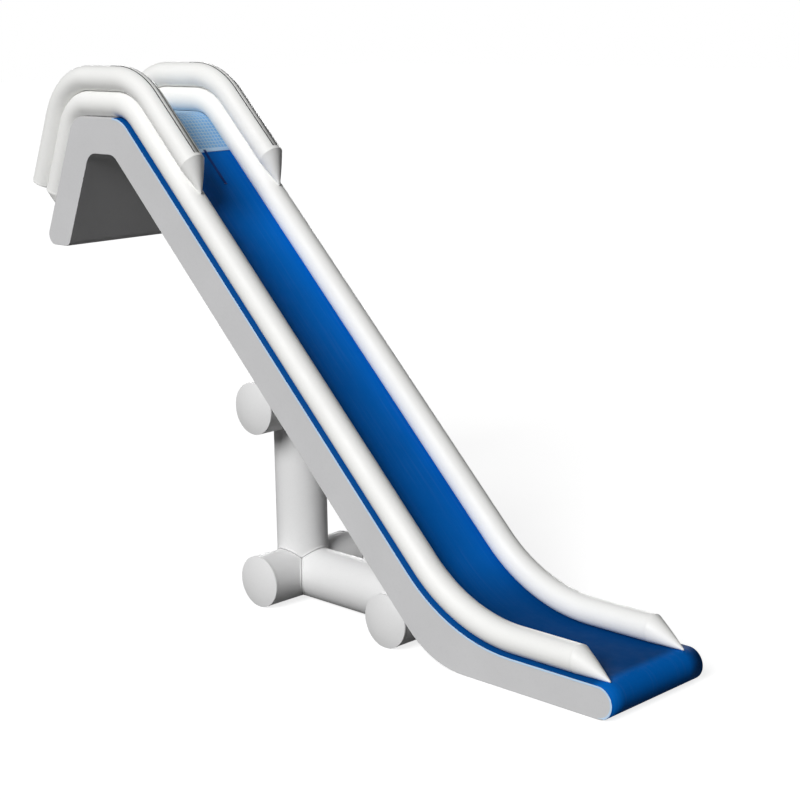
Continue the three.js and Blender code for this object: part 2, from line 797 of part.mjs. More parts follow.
// A ring of round wire, straight where the patch holds it, hanging down from the origin.
function dRing() {
  const corners = [
    { at: flat(-ringHalfWidth, 0), radius: ringCornerRadius },
    { at: flat(-ringHalfWidth, -ringReach), radius: ringBowRadius },
    { at: flat(ringHalfWidth, -ringReach), radius: ringBowRadius },
    { at: flat(ringHalfWidth, 0), radius: ringCornerRadius },
  ];
  const loop = rounded(corners).filter((_, i) => i % 3 === 0);
  const rings = loop.map((at, i) => {
    const before = loop[(i + loop.length - 1) % loop.length];
    const after = loop[(i + 1) % loop.length];
    const normal = leftNormal(before, after);
    return Array.from({ length: ringWireSides }, (_, k) => {
      const spin = (FULL_TURN * k) / ringWireSides;
      const out = ringWireRadius * Math.cos(spin);
      return new THREE.Vector3(
        ringWireRadius * Math.sin(spin),
        at.x + normal.x * out,
        at.y + normal.y * out,
      );
    });
  });
  return skinned(rings, true);
}

function makeRings() {
  const outward = inSpace(slopeOut).negate();
  const upSlope = inSpace(slopeDown).negate();
  const rows = [
    ["upper", upperAxis, upperRingTubeReach],
    ["lower", frontAxis, lowerRingTubeReach],
  ];
  for (const [row, axis, tubeReach] of rows)
    for (const { word, sign } of sides) {
      const spot = along(slabContact(axis), slopeDown, -tubeReach);
      const y = (sign * ringSpacing) / 2;
      const patchSeat = valveSeat(spot.x, y, spot.y, outward, upSlope);
      const name = `${row}_${word}`;
      place(`ring_patch_${name}`, ringPatch(), strapNavy, patchSeat);
      const bar = along(spot, slopeOut, -ringBarHeight);
      const ring = dRing().translate(bar.x, y, bar.y);
      place(`d_ring_${name}`, ring, steel);
    }
}

makeRings();

// The origin is on the floor, under the middle of the slide's whole length

const reach = new THREE.Box3().setFromObject(slide, true);
slide.position.x = -reach.getCenter(new THREE.Vector3()).x;

// The spring's least gap to itself, measured between the rings of neighbouring curls

function springSelfGap() {
  const position = valveSpring().getAttribute("position");
  const point = (i) => new THREE.Vector3().fromBufferAttribute(position, i);
  const curl = springCurlSteps * springWireSides;
  let least = Infinity;
  for (let i = 0; i < position.count; i++)
    for (let j = i + curl - springWireSides; j < position.count; j++)
      least = Math.min(least, point(i).distanceTo(point(j)));
  return least;
}

console.log("least gap between spring curls", springSelfGap().toFixed(2), "mm");

export default slide;
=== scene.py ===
# %% [markdown]
# # An inflatable water slide, dressed over its CAD frame
# The slide hangs over a boat's rail by a padded hook, runs down a long slope and ends in a flat
# run-out on the water. Everything on it is air under pressure inside coated cloth, so the shapes
# are sections swept along one side view: straight runs and round bends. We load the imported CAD
# model first, because its places are fixed, and then model each skin over it.

# %% Load the frame
import math

import bmesh
import bpy
import numpy as np
from mathutils import Matrix, Vector


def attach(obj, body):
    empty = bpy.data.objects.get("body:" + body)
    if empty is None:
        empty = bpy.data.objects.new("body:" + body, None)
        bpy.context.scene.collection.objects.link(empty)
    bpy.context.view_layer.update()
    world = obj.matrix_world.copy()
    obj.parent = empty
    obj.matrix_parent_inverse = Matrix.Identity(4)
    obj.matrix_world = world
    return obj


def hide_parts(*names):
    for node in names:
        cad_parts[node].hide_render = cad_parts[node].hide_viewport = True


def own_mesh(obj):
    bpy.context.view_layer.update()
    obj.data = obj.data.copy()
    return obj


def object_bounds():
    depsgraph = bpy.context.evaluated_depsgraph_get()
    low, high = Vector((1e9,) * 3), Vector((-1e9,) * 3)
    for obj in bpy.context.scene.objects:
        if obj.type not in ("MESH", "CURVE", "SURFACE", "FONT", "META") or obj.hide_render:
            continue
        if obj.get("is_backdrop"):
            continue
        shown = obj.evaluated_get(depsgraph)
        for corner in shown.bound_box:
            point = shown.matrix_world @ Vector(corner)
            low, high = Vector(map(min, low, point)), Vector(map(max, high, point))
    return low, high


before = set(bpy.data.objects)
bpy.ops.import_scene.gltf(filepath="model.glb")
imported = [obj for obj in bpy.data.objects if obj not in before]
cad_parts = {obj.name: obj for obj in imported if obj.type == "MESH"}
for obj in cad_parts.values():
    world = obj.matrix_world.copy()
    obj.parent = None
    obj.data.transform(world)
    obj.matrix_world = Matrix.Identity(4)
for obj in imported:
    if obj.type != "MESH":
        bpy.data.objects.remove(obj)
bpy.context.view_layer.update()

# %% [markdown]
# ## The side view
# A boat builder draws such a slide from the side. Its top line has four corners, each rounded by
# its own radius: over the rail, into the slope, and out on to the water. All other pieces are
# that line moved out by a rise, so we keep the corners once and work the rest out from them.

# %% Corners of the slab, in metres
SLOPE_X, DECK_Z = -2.6831, 5.54
FLAT_TOP, LEG_DROP, RUNOUT_LONG = 0.953, 1.605, 1.955
SLAB, RUNOUT, HALF = 0.436, 0.345, 0.747
LEAN = math.radians(23.5)
LEG_DOWN = Vector((-math.sin(LEAN), 0, -math.cos(LEAN)))
LEG_OUT = Vector((-math.cos(LEAN), 0, math.sin(LEAN)))
DOWN = Vector((1, 0, -1)).normalized()
OUT = Vector((1, 0, 1)).normalized()
LEVEL, ACROSS, UP = Vector((1, 0, 0)), Vector((0, 1, 0)), Vector((0, 0, 1))
SIDES = (("right", -1), ("left", 1))
leg_top = Vector((SLOPE_X - FLAT_TOP, 0, DECK_Z))
slope_top = Vector((SLOPE_X, 0, DECK_Z))
runout_top = Vector((SLOPE_X + DECK_Z - RUNOUT, 0, RUNOUT))
nose_centre = runout_top.x + RUNOUT_LONG
nose = nose_centre + RUNOUT / 2
print("run-out corner", round(runout_top.x, 3), "nose", round(nose, 4))


# %% Where two lines of the side view cross
def meet(p, p_way, q, q_way):
    turn = p_way.x * q_way.z - p_way.z * q_way.x
    away = q - p
    return p + p_way * ((away.x * q_way.z - away.z * q_way.x) / turn)


RAIL_BEND, BROW_BEND, WATER_BEND = 0.3, 0.4, 2.0
rail_corner, brow_corner = (leg_top, RAIL_BEND), (slope_top, BROW_BEND)
water_corner = (runout_top, WATER_BEND)
nose_corners = [(Vector((nose, 0, z)), RUNOUT / 2) for z in (RUNOUT, 0)]
leg_inside = leg_top - LEG_OUT * SLAB
slope_inside = slope_top - OUT * SLAB
foot = Vector((0, 0, DECK_Z - LEG_DROP))
ceiling = Vector((0, 0, DECK_Z - SLAB))
ground = Vector((0, 0, 0))
slab_corners = [
    (meet(leg_top, LEG_DOWN, foot, LEVEL), 0.12),
    rail_corner,
    brow_corner,
    water_corner,
    *nose_corners,
    (meet(slope_inside, DOWN, ground, LEVEL), 1.1),
    (meet(slope_inside, DOWN, ceiling, LEVEL), 0.2),
    (meet(leg_inside, LEG_DOWN, ceiling, LEVEL), 0.2),
    (meet(leg_inside, LEG_DOWN, foot, LEVEL), 0.1),
]
print("slab outline has", len(slab_corners), "corners")

# %% [markdown]
# ## Walking a section along the side view
# By hand one would extrude a section along each straight run and spin it round each bend. We do
# just that: a route lists the runs and bends of a line with rounded corners, and sweep repeats
# extrude and spin in edit mode with whatever is selected, a point, an edge or a ring.


# %% A route of straight runs and bends
def left_of(way):
    return Vector((-way.z, 0, way.x))


def route(corners, rise=0.0, closed=False):
    """The start and the moves of a line with rounded corners, moved out by a rise."""
    count = len(corners)
    start, moves, at = None, [], None
    for i in list(range(count)) + [0] * closed:
        point, radius = corners[i]
        before = corners[i - 1][0] if closed or i else None
        after = corners[(i + 1) % count][0] if closed or i < count - 1 else None
        way_in = (point - before).normalized() if before else (after - point).normalized()
        way_out = (after - point).normalized() if after else way_in
        turn = way_in.cross(way_out).dot(-ACROSS)
        angle = math.atan2(turn, way_in.dot(way_out))
        reach = radius * math.tan(abs(angle) / 2)
        first = point - way_in * reach + left_of(way_in) * rise
        last = point + way_out * reach + left_of(way_out) * rise
        if start is None:
            start = at = last if closed else first
            continue
        moves.append(("run", at, first))
        if radius:
            side = math.copysign(1, angle)
            centre = first + left_of(way_in) * (side * radius - rise)
            moves.append(("bend", centre, first, angle))
        at = last
    return start, moves


def runs(points):
    """The moves of a line that goes straight from point to point."""
    return [("run", before, after) for before, after in zip(points, points[1:])]


def length_of(moves):
    """A run counts by its length, and a bend by its radius times its angle."""
    return sum((m[2] - m[1]).length * (abs(m[3]) if m[0] == "bend" else 1) for m in moves)


LINE_ON_LEG, LINE_UNDER = 1.70, 1
top_corners = [
    (leg_top + LEG_DOWN * LINE_ON_LEG, 0),
    rail_corner,
    brow_corner,
    water_corner,
    *nose_corners,
    (Vector((nose_centre - LINE_UNDER, 0, 0)), 0),
]
_, top_moves = route(top_corners)
print("top line has", len(top_moves), "moves and is", round(length_of(top_moves), 2), "long")

# %% [markdown]
# ## Pieces in edit mode
# Most pieces start as one point or one ring and grow by extrude and spin, as they would by hand.
# Some helpers start a piece, some shape it, and the last ones merge doubles, turn the faces
# outwards and apply a modifier. Each is a few operators under a name that says what they do.


# %% Helpers that start a piece
def free_hand():
    """Leaves edit mode and lets go of everything."""
    if bpy.context.object and bpy.context.object.mode != "OBJECT":
        bpy.ops.object.mode_set(mode="OBJECT")
    bpy.ops.object.select_all(action="DESELECT")


def take_all():
    bpy.ops.mesh.select_all(action="SELECT")


def reopen(piece):
    """Goes into edit mode with all of a piece selected."""
    bpy.context.view_layer.objects.active = piece
    bpy.ops.object.mode_set(mode="EDIT")
    bpy.ops.mesh.select_mode(type="VERT")
    take_all()


def begin(name):
    """Names the new primitive, gives its mesh its place, and goes into edit mode."""
    piece = bpy.context.object
    piece.name = piece.data.name = name
    bpy.ops.object.transform_apply(location=True, rotation=True, scale=True)
    reopen(piece)
    return piece


def point_start(name, at):
    """One single vertex to draw an outline with: a small plane merged at its middle."""
    free_hand()
    bpy.ops.mesh.primitive_plane_add(size=0.01, location=tuple(at))
    piece = begin(name)
    bpy.ops.mesh.merge(type="CENTER")
    return piece


def round_start(name, at, way, radius, sides=64):
    """A ring across any way, to sweep a tube with."""
    free_hand()
    bpy.ops.mesh.primitive_circle_add(
        vertices=sides,
        radius=radius,
        location=tuple(at),
        rotation=Vector(way).to_track_quat("Z", "Y").to_euler(),
    )
    return begin(name)


def block_start(name, at, size):
    free_hand()
    bpy.ops.mesh.primitive_cube_add(size=1, location=at, scale=size)
    return begin(name)


# %% Helpers that shape a piece in edit mode
def pull(way):
    """Extrudes what is selected by a vector."""
    bpy.ops.mesh.extrude_region_move(TRANSFORM_OT_translate={"value": tuple(way)})


def sweep(moves, step=3):
    """Extrudes and spins what is selected along some moves; step is the angle of one facet."""
    for move in moves:
        if move[0] == "bend":
            _, centre, _, angle = move
            steps = max(2, round(abs(math.degrees(angle)) / step))
            bpy.ops.mesh.spin(steps=steps, angle=angle, center=tuple(centre), axis=(0, 1, 0))
        elif (move[2] - move[1]).length > 1e-6:
            pull(move[2] - move[1])


def draw(name, points):
    """Draws a line from point to point and selects all of it."""
    piece = point_start(name, points[0])
    sweep(runs(points))
    take_all()
    return piece


def rings(name, at, way, radius, stages, sides=64, closed=True):
    """Pulls a ring, or a disc if closed, through stages: its next centres and radii."""
    piece = round_start(name, at, way, radius, sides)
    if closed:
        bpy.ops.mesh.edge_face_add()
    for spot, now in stages:
        pull(spot - at)
        bpy.ops.transform.resize(value=(now / radius,) * 3, center_override=tuple(spot))
        at, radius = spot, now
    return piece


def side_view(name, corners, low_y, high_y, step, merge=1e-5):
    """Draws a closed side view with one point, fills it, and pulls it out along y."""
    start, moves = route(corners, closed=True)
    piece = point_start(name, start + ACROSS * low_y)
    sweep(moves, step)
    take_all()
    bpy.ops.mesh.remove_doubles(threshold=merge)
    bpy.ops.mesh.edge_face_add()
    pull(ACROSS * (high_y - low_y))
    return piece


def cut(place, normal, **settings):
    """Cuts all of the piece by a plane."""
    take_all()
    bpy.ops.mesh.bisect(plane_co=tuple(place), plane_no=tuple(normal), **settings)


def pick(piece, test, mode="FACE"):
    """Selects the vertices, edges or faces that pass a test, and counts them."""
    bpy.ops.mesh.select_mode(type=mode)
    bpy.ops.mesh.select_all(action="DESELECT")
    mesh = bmesh.from_edit_mesh(piece.data)
    elements = {"VERT": mesh.verts, "EDGE": mesh.edges, "FACE": mesh.faces}[mode]
    chosen = [element for element in elements if test(element)]
    for element in chosen:
        element.select_set(True)
    mesh.select_flush_mode()
    bmesh.update_edit_mesh(piece.data)
    return len(chosen)


def pick_open_edges():
    bpy.ops.mesh.select_all(action="DESELECT")
    bpy.ops.mesh.select_mode(type="EDGE")
    bpy.ops.mesh.select_non_manifold(extend=False)


# %% Helpers that finish a piece
def modify(piece, kind, **settings):
    """Adds one modifier and applies it."""
    free_hand()
    bpy.context.view_layer.objects.active = piece
    piece.select_set(True)
    made = piece.modifiers.new(kind.title(), kind)
    for key, value in settings.items():
        setattr(made, key, value)
    bpy.ops.object.modifier_apply(modifier=made.name)


def done(piece, smooth=60):
    """Merges doubles, turns the faces outwards and smooths all but the sharp edges."""
    bpy.ops.mesh.select_mode(type="VERT")
    take_all()
    bpy.ops.mesh.remove_doubles(threshold=1e-5)
    bpy.ops.mesh.normals_make_consistent(inside=False)
    bpy.ops.object.mode_set(mode="OBJECT")
    piece.select_set(True)
    bpy.ops.object.shade_smooth_by_angle(angle=math.radians(smooth))
    free_hand()
    return piece


def round_edges(piece, width, sharp=1.0):
    """Rounds the edges that turn by more than an angle in radians."""
    modify(piece, "BEVEL", width=width, segments=2, limit_method="ANGLE", angle_limit=sharp)


def thicken(piece, thickness, rounding=0.0, offset=0):
    """Makes a single layer solid, and returns the area that it had."""
    area = sum(face.area for face in piece.data.polygons)
    modify(piece, "SOLIDIFY", thickness=thickness, offset=offset)
    if rounding:
        round_edges(piece, rounding)
    return area


def joined(name, *parts):
    """Makes one piece of several."""
    free_hand()
    for part in parts:
        part.select_set(True)
    bpy.context.view_layer.objects.active = parts[0]
    bpy.ops.object.join()
    parts[0].name = parts[0].data.name = name
    free_hand()
    return parts[0]


def dress(piece, material, slot, *nodes, body="slide"):
    """Gives a piece its material and its body, and hides the CAD nodes that it stands for; slot is
    not used.
    """
    piece.data.materials.clear()
    piece.data.materials.append(material)
    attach(piece, body)
    if nodes:
        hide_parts(*nodes)


# %% [markdown]
# ## Cloth coordinates
# Coated cloth is cut flat and welded up, so its weave follows each skin. A UV map in metres gives
# that: u runs along the slide and v across it, or round a tube. The place of each point along
# the top line is worked out from the same runs and bends.


# %% Unroll points along the top line
def unroll(points):
    """For each (x, z), how far along the top line it lies, and how high above it."""
    best = np.full(len(points), 1e9)
    run, rise = np.zeros(len(points)), np.zeros(len(points))
    gone = 0.0
    for move in top_moves:
        a, b = np.array(move[1].xz), np.array(move[2].xz)
        length = length_of([move])
        if move[0] == "run":
            if length < 1e-6:
                continue
            way = (b - a) / length
            along = (points - a) @ way
            high = (points - a) @ np.array((-way[1], way[0]))
            off = np.abs(high) + 4 * np.maximum(0, np.maximum(-along, along - length))
        else:
            angle = move[3]
            side = math.copysign(1, angle)
            radius = length / abs(angle)
            away = points - a
            base = math.atan2(*(b - a)[::-1])
            turned = side * (np.arctan2(away[:, 1], away[:, 0]) - base)
            turned = (turned + math.pi) % (2 * math.pi) - math.pi
            along = turned * radius
            high = side * (radius - np.linalg.norm(away, axis=1))
            beyond = np.maximum(0, np.maximum(-turned, turned - abs(angle)))
            off = np.abs(high) + 4 * radius * beyond
        near = off < best
        best[near], run[near], rise[near] = off[near], gone + along[near], high[near]
        gone += length
    return run, rise


# %% Cloth maps
def corners_of(piece):
    """The place of each face corner, as rows of x, y and z."""
    mesh = piece.data
    spots, corner = np.empty(len(mesh.vertices) * 3), np.empty(len(mesh.loops), int)
    mesh.vertices.foreach_get("co", spots)
    mesh.loops.foreach_get("vertex_index", corner)
    return spots.reshape(-1, 3)[corner]


def write_map(piece, along, across, radius=None):
    """Writes the cloth map; with a radius, across is an angle that no face may jump."""
    mesh = piece.data
    if radius:
        for face in mesh.polygons:
            part = slice(face.loop_start, face.loop_start + face.loop_total)
            if np.ptp(across[part]) > math.pi:
                across[part] += np.where(across[part] < 0, 2 * math.pi, 0)
        across = across * radius
    layer = mesh.uv_layers[0] if mesh.uv_layers else mesh.uv_layers.new(name="cloth")
    layer.name = "cloth"
    layer.data.foreach_set("uv", np.stack((along, across), 1).ravel())
    print(f"{piece.name}: {len(mesh.vertices)} vertices, {len(mesh.polygons)} faces")


def lay_cloth(piece, tube=None):
    """Maps a piece that follows the top line; tube is (y, rise, radius) of a tube's axis."""
    spots = corners_of(piece)
    run, rise = unroll(spots[:, [0, 2]])
    if tube:
        y, high, radius = tube
        write_map(piece, run, np.arctan2(rise - high, spots[:, 1] - y), radius)
        return
    faces = piece.data.polygons
    flank = np.repeat([abs(f.normal.y) > 0.71 for f in faces], [f.loop_total for f in faces])
    write_map(piece, run, np.where(flank, rise, spots[:, 1]))


def lay_round(piece, centre, way, radius):
    """Maps a straight round piece: u along it, v round it."""
    way = Vector(way).normalized()
    side = way.orthogonal().normalized()
    away = corners_of(piece) - np.array(centre)
    along, first, second = (away @ np.array(v) for v in (way, side, way.cross(side)))
    write_map(piece, along, np.arctan2(second, first), radius)


# %% [markdown]
# ## The camera
# The photograph was taken from beside and below the deck, a little above the run-out, with a
# fairly long lens. Place and direction come from fitting the slide's level and upright edges.

# %% Camera
camera_data = bpy.data.cameras.new("camera")
camera = bpy.data.objects.new("camera", camera_data)
bpy.context.scene.collection.objects.link(camera)
right = Vector((0.71089192, 0.70308608, -0.01739654))
upward = Vector((-0.1394734, 0.16517985, 0.97635177))
forward = Vector((-0.6893329, 0.69165424, -0.21548683))
turned = Matrix((right, upward, -forward)).transposed().to_4x4()
camera.matrix_world = Matrix.Translation((14.7199, -13.81364, 6.84756)) @ turned
camera_data.lens = 81.64
camera_data.sensor_width = 36
camera_data.shift_x, camera_data.shift_y = 0.01323, 0.0003
camera_data.clip_end = 400
bpy.context.scene.camera = camera
print("camera at", [round(c, 2) for c in camera.location])

# %% [markdown]
# ## Floor and light
# The slide stands on a wide pale floor. One broad key light comes from the camera's left and
# above it, the sky adds only a little, and a weak lamp behind keeps the far side readable. The
# undersides stay dark, as they do in the photograph. The floor looks white to the camera but
# throws back little light, which needs the Light Path node.


# %% Node helpers
def plug(tree, node, sockets):
    """Links or sets the sockets of a node, each given by its name or number."""
    for key, value in sockets.items():
        if isinstance(value, bpy.types.NodeSocket):
            tree.links.new(value, node.inputs[key])
        else:
            node.inputs[key].default_value = value


def add(tree, kind, sockets=None, **settings):
    made = tree.nodes.new("ShaderNode" + kind)
    for key, value in settings.items():
        setattr(made, key, value)
    plug(tree, made, sockets or {})
    return made


def maths(tree, operation, *values):
    return add(tree, "Math", dict(enumerate(values)), operation=operation).outputs[0]


def mixed(tree, factor, a, b):
    """One colour or the other, by a factor from 0 to 1."""
    sockets = {0: factor, 6: a, 7: b}
    return add(tree, "Mix", sockets, data_type="RGBA", clamp_factor=True).outputs[2]


def between(tree, value, low, high, to_low=0.0, to_high=1.0, smooth=False):
    """Maps what lies from low to high on to another span, and stops at its ends."""
    sockets = dict(enumerate((value, low, high, to_low, to_high)))
    kind = "SMOOTHSTEP" if smooth else "LINEAR"
    return add(tree, "MapRange", sockets, interpolation_type=kind).outputs[0]


def noise(tree, where, scale, detail, stretch=None, roughness=0.5):
    """Noise of a scale in features per metre, stretched by a factor on each axis."""
    if stretch:
        where = add(tree, "Mapping", {"Vector": where, "Scale": stretch}).outputs[0]
    sockets = {"Vector": where, "Scale": scale, "Detail": detail, "Roughness": roughness}
    return add(tree, "TexNoise", sockets).outputs[0]


def bump(tree, height, distance, strength, under=None):
    """A relief of a height in metres, on top of another one if that is given."""
    sockets = {"Height": height, "Distance": distance, "Strength": strength}
    if under:
        sockets["Normal"] = under
    return add(tree, "Bump", sockets).outputs[0]


def grey(value):
    return (value, value, value, 1)


# %% World and lamps
scene = bpy.context.scene
scene.view_settings.view_transform = "Standard"
SKY, GLEAM = 0.045, 0.3


def looked_at(tree):
    """1 for rays from the camera or through glass, and less for those that reach it by gloss."""
    rays = add(tree, "LightPath").outputs
    gleam = maths(tree, "MULTIPLY", rays["Is Glossy Ray"], GLEAM)
    seen = maths(tree, "MAXIMUM", rays["Is Camera Ray"], gleam)
    return maths(tree, "MAXIMUM", seen, rays["Is Transmission Ray"])


def lamp(name, direction, strength, spread):
    data = bpy.data.lights.new(name, "SUN")
    data.energy, data.angle = strength, math.radians(spread)
    made = bpy.data.objects.new(name, data)
    scene.collection.objects.link(made)
    made.matrix_world = Vector(direction).to_track_quat("Z", "Y").to_matrix().to_4x4()


world = bpy.data.worlds.new("studio")
scene.world = world
world.use_nodes = True
tree = world.node_tree
sky = between(tree, looked_at(tree), 0.0, 1.0, SKY, 1.0)
plug(tree, tree.nodes["Background"], {"Strength": sky, "Color": grey(1)})
lamp("key", (0.2, -0.8, 0.56), 3.15, 30)
lamp("back", (-0.67, 0.74, 0.06), 1.6, 30)
print("world and lamps ready")

# %% Floor
free_hand()
bpy.ops.mesh.primitive_plane_add(size=260, location=(0, 0, -0.002))
floor = bpy.context.object
floor.name = "floor"
floor_look = bpy.data.materials.new("pale floor")
floor_look.use_nodes = True
tree = floor_look.node_tree
tree.nodes.clear()
grain = noise(tree, add(tree, "TexCoord").outputs["Object"], 1.5, 4)
paper = add(tree, "BsdfDiffuse", {"Color": mixed(tree, grain, grey(0.39), grey(0.41))})
glow = add(tree, "Emission", {"Strength": 0.80})
lit = add(tree, "AddShader", {0: paper.outputs[0], 1: glow.outputs[0]})
dim = add(tree, "BsdfDiffuse", {"Color": grey(0.11)})
choice = add(tree, "MixShader", {0: looked_at(tree), 1: dim.outputs[0], 2: lit.outputs[0]})
add(tree, "OutputMaterial", {"Surface": choice.outputs[0]})
floor.data.materials.append(floor_look)
floor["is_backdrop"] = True
print("floor ready")

# %% [markdown]
# ## Coated cloth
# The skins are polyester cloth coated on both sides with soft vinyl. Close up the threads show
# through as a fine plain weave, the gloss is uneven where it was handled and packed, and dust
# settles in it. One recipe makes every colour of it, so all skins belong together.


# %% Colours and a new finish
def colour(hex_code):
    """A colour as it looks on a screen, turned to the linear light that shaders work in."""
    parts = [int(hex_code[i : i + 2], 16) / 255 for i in (0, 2, 4)]
    linear = [p / 12.92 if p <= 0.04045 else ((p + 0.055) / 1.055) ** 2.4 for p in parts]
    return (*linear, 1.0)


def darker(rgba, by):
    return tuple(part * by for part in rgba[:3]) + (1.0,)


def lighter(rgba, by):
    return tuple(part + (1 - part) * by for part in rgba[:3]) + (1.0,)


def new_finish(name, hex_code):
    """A material, its nodes, its shader, the place on the piece, and its colour."""
    look = bpy.data.materials.new(name)
    look.use_nodes = True
    tree = look.node_tree
    place = add(tree, "TexCoord").outputs["Object"]
    return look, tree, tree.nodes["Principled BSDF"], place, colour(hex_code)


# %% Painted shade on the sheet
def painted_shade_zones(tree, place):
    """Where shade is painted on the sheet: near the water, short of the nose, and beside the tubes
    along its edges.
    """
    x, y, z = add(tree, "SeparateXYZ", {0: place}).outputs
    low = between(tree, z, 0.95, RUNOUT + 0.02, smooth=True)
    behind = between(tree, x, nose_centre + 0.03, nose_centre - 0.12, smooth=True)
    edge = between(tree, maths(tree, "ABSOLUTE", y), 0.57, 0.64, 0.0, 0.8, smooth=True)
    return maths(tree, "MULTIPLY", maths(tree, "MAXIMUM", low, edge), behind)


# %% A recipe for coated cloth
def cloth(name, hex_code, gloss, shine=0.5, soil=0.10, streak=0.0, painted_shade=0.0,
          weave=0.0016, relief=0.00012):
    """gloss is the roughness, weave the width of a thread pair and relief its height."""
    look, tree, skin, place, base = new_finish(name, hex_code)
    on_cloth = add(tree, "UVMap", uv_map="cloth").outputs[0]
    patchy = noise(tree, place, 1.3, 5)
    fine = noise(tree, place, 34, 4)
    tint = mixed(tree, between(tree, patchy, 0.35, 0.7), base, darker(base, 1 - 0.5 * soil))
    tint = mixed(tree, between(tree, fine, 0.52, 0.75, 0.0, soil), tint, darker(base, 0.72))
    if streak:
        lines = noise(tree, on_cloth, 1.0, 4, stretch=(0.9, 26, 1), roughness=0.6)
        share = between(tree, lines, 0.5, 0.8, 0.0, streak)
        tint = mixed(tree, share, tint, lighter(base, 0.25))
    rough = between(tree, noise(tree, place, 5.5, 6), 0.3, 0.72, gloss - 0.06, gloss + 0.10)
    # Painted shade: where the mask is high the colour is darkened to stand for shade, and the
    # roughness is lowered a little.
    if painted_shade:
        shade_zone = painted_shade_zones(tree, place)
        tint = mixed(tree, maths(tree, "MULTIPLY", shade_zone, painted_shade), tint, darker(base, 0.25))
        rough = maths(tree, "SUBTRACT", rough, maths(tree, "MULTIPLY", shade_zone, 0.08))
    along, across, _ = add(tree, "SeparateXYZ", {0: on_cloth}).outputs
    warp, weft = (
        maths(tree, "SINE", maths(tree, "MULTIPLY", way, 2 * math.pi / weave))
        for way in (along, across)
    )
    threads = bump(tree, maths(tree, "MULTIPLY", warp, weft), relief, 0.6)
    waves = bump(tree, noise(tree, place, 9, 4), 0.003, 0.35, threads)
    plug(tree, skin, {"Base Color": tint, "Roughness": rough, "Normal": waves})
    plug(tree, skin, {"Specular IOR Level": shine})
    return look


slab_cloth = cloth("slab cloth", "D0D0D1", 0.5, 0.25)
guard_cloth = cloth("guard cloth", "F4F4F2", 0.44, 0.3, soil=0.06)
frame_cloth = cloth("frame cloth", "E4E4E4", 0.5, 0.25, soil=0.08)
# The sheet gets painted shade on its run-out and along its edges beside the tubes.
sheet_cloth = cloth("sheet cloth", "0060B6", 0.66, 0.04, soil=0.12, streak=0.05, painted_shade=0.75)
edge_cloth = cloth("edge cloth", "C4DDF5", 0.5, 0.35)
patch_cloth = cloth("patch cloth", "173A66", 0.5)
print("cloths:", [m.name for m in bpy.data.materials if "cloth" in m.name])

# %% [markdown]
# ## The slab
# The slab is two flat skins held a fixed distance apart by thousands of threads, with a strip
# welded round its edge. That makes a hard flat board of air. We draw its side view with one
# point, fill it, pull it out to full width, and round the long welded edges a little.

# %% Slab
SLAB_RIM = 0.007
slab = side_view("slab_skin", slab_corners, -HALF, HALF, 5, merge=1e-4)
take_all()
bpy.ops.mesh.normals_make_consistent(inside=False)
rim = pick(slab, lambda e: abs(e.verts[0].co.y - e.verts[1].co.y) < 1e-6, "EDGE")
bpy.ops.mesh.bevel(offset=SLAB_RIM, segments=3, profile=0.5)
done(slab, 40)
modify(slab, "WEIGHTED_NORMAL", keep_sharp=True, weight=80)
lay_cloth(slab)
dress(slab, slab_cloth, "slab_pvc", "slide_slab")
print("slab rim edges", rim, "width", round(slab.dimensions.y, 3))

# %% [markdown]
# ## The guard tubes
# Two round tubes lie on each edge of the slab. Each is one long cloth cylinder, cut and welded
# so that it follows the bends. A ring swept along the top line, raised by the tube's own radius,
# gives it, and the ends close with cones and shallow domes.

# %% Tube lines
TUBE, LANE = 0.15, 0.6
SHEET_TOP, GAP = 0.0023, 0.0003
LOW_RISE = SHEET_TOP + GAP + TUBE
HIGH_RISE = LOW_RISE + 2 * TUBE + GAP
WATER_CONE, SLOPE_CONE, DECK_CONE, DECK_DOME = 0.37, 0.33, 0.205, 0.045
LOW_ON_LEG, HIGH_ON_LEG, HIGH_ON_SLOPE, TIP_PAST_NOSE = 1.113, 1.135, 1.14, 0.04
low_foot = leg_top + LEG_DOWN * LOW_ON_LEG
high_foot = leg_top + LEG_DOWN * HIGH_ON_LEG
low_end = Vector((nose_centre + TIP_PAST_NOSE - WATER_CONE, 0, RUNOUT))
high_end = slope_top + DOWN * HIGH_ON_SLOPE
low_corners = [(low_foot, 0), rail_corner, brow_corner, water_corner, (low_end, 0)]
high_corners = [(high_foot, 0), rail_corner, brow_corner, (high_end, 0)]


def tube(name, node, corners, rise, y):
    start, moves = route(corners, rise)
    piece = round_start(name, start + ACROSS * y, -LEG_DOWN, TUBE)
    bpy.ops.mesh.edge_face_add()
    sweep(moves)
    done(piece, 50)
    lay_cloth(piece, (y, rise, TUBE))
    dress(piece, guard_cloth, "guard_pvc", node)


for side, sign in SIDES:
    tube(f"guard_low_{side}", f"guard_tube_lower_{side}", low_corners, LOW_RISE, sign * LANE)
    tube(f"guard_high_{side}", f"guard_tube_upper_{side}", high_corners, HIGH_RISE, sign * LANE)


# %% Cones and domes that close the tubes
def cone(name, base, way, out, length):
    """An oblique cone: its underside runs straight on, so its rings shrink towards the slab."""
    tip, bulge, count, stages = 0.008, 0.004, 10, []
    for i in range(1, count + 1):
        share = i / count
        radius = TUBE + (tip - TUBE) * share + bulge * math.sin(math.pi * share)
        stages.append((base + way * (length * share) - out * (TUBE - radius), radius))
    return done(rings(name, base, way, TUBE, stages), 50)


def dome(name, base, way, radius, height, count=8, sides=64):
    """A shallow dome, a small part of a large ball, drawn as rings from rim to pole."""
    ball = (radius**2 + height**2) / (2 * height)
    spread = math.asin(radius / ball)
    stages = []
    for i in range(1, count + 1):
        angle = spread * (1 - 0.999 * i / count)
        spot = base + way * (height - ball * (1 - math.cos(angle)))
        stages.append((spot, ball * math.sin(angle)))
    return done(rings(name, base, way, radius, stages, sides), 50)


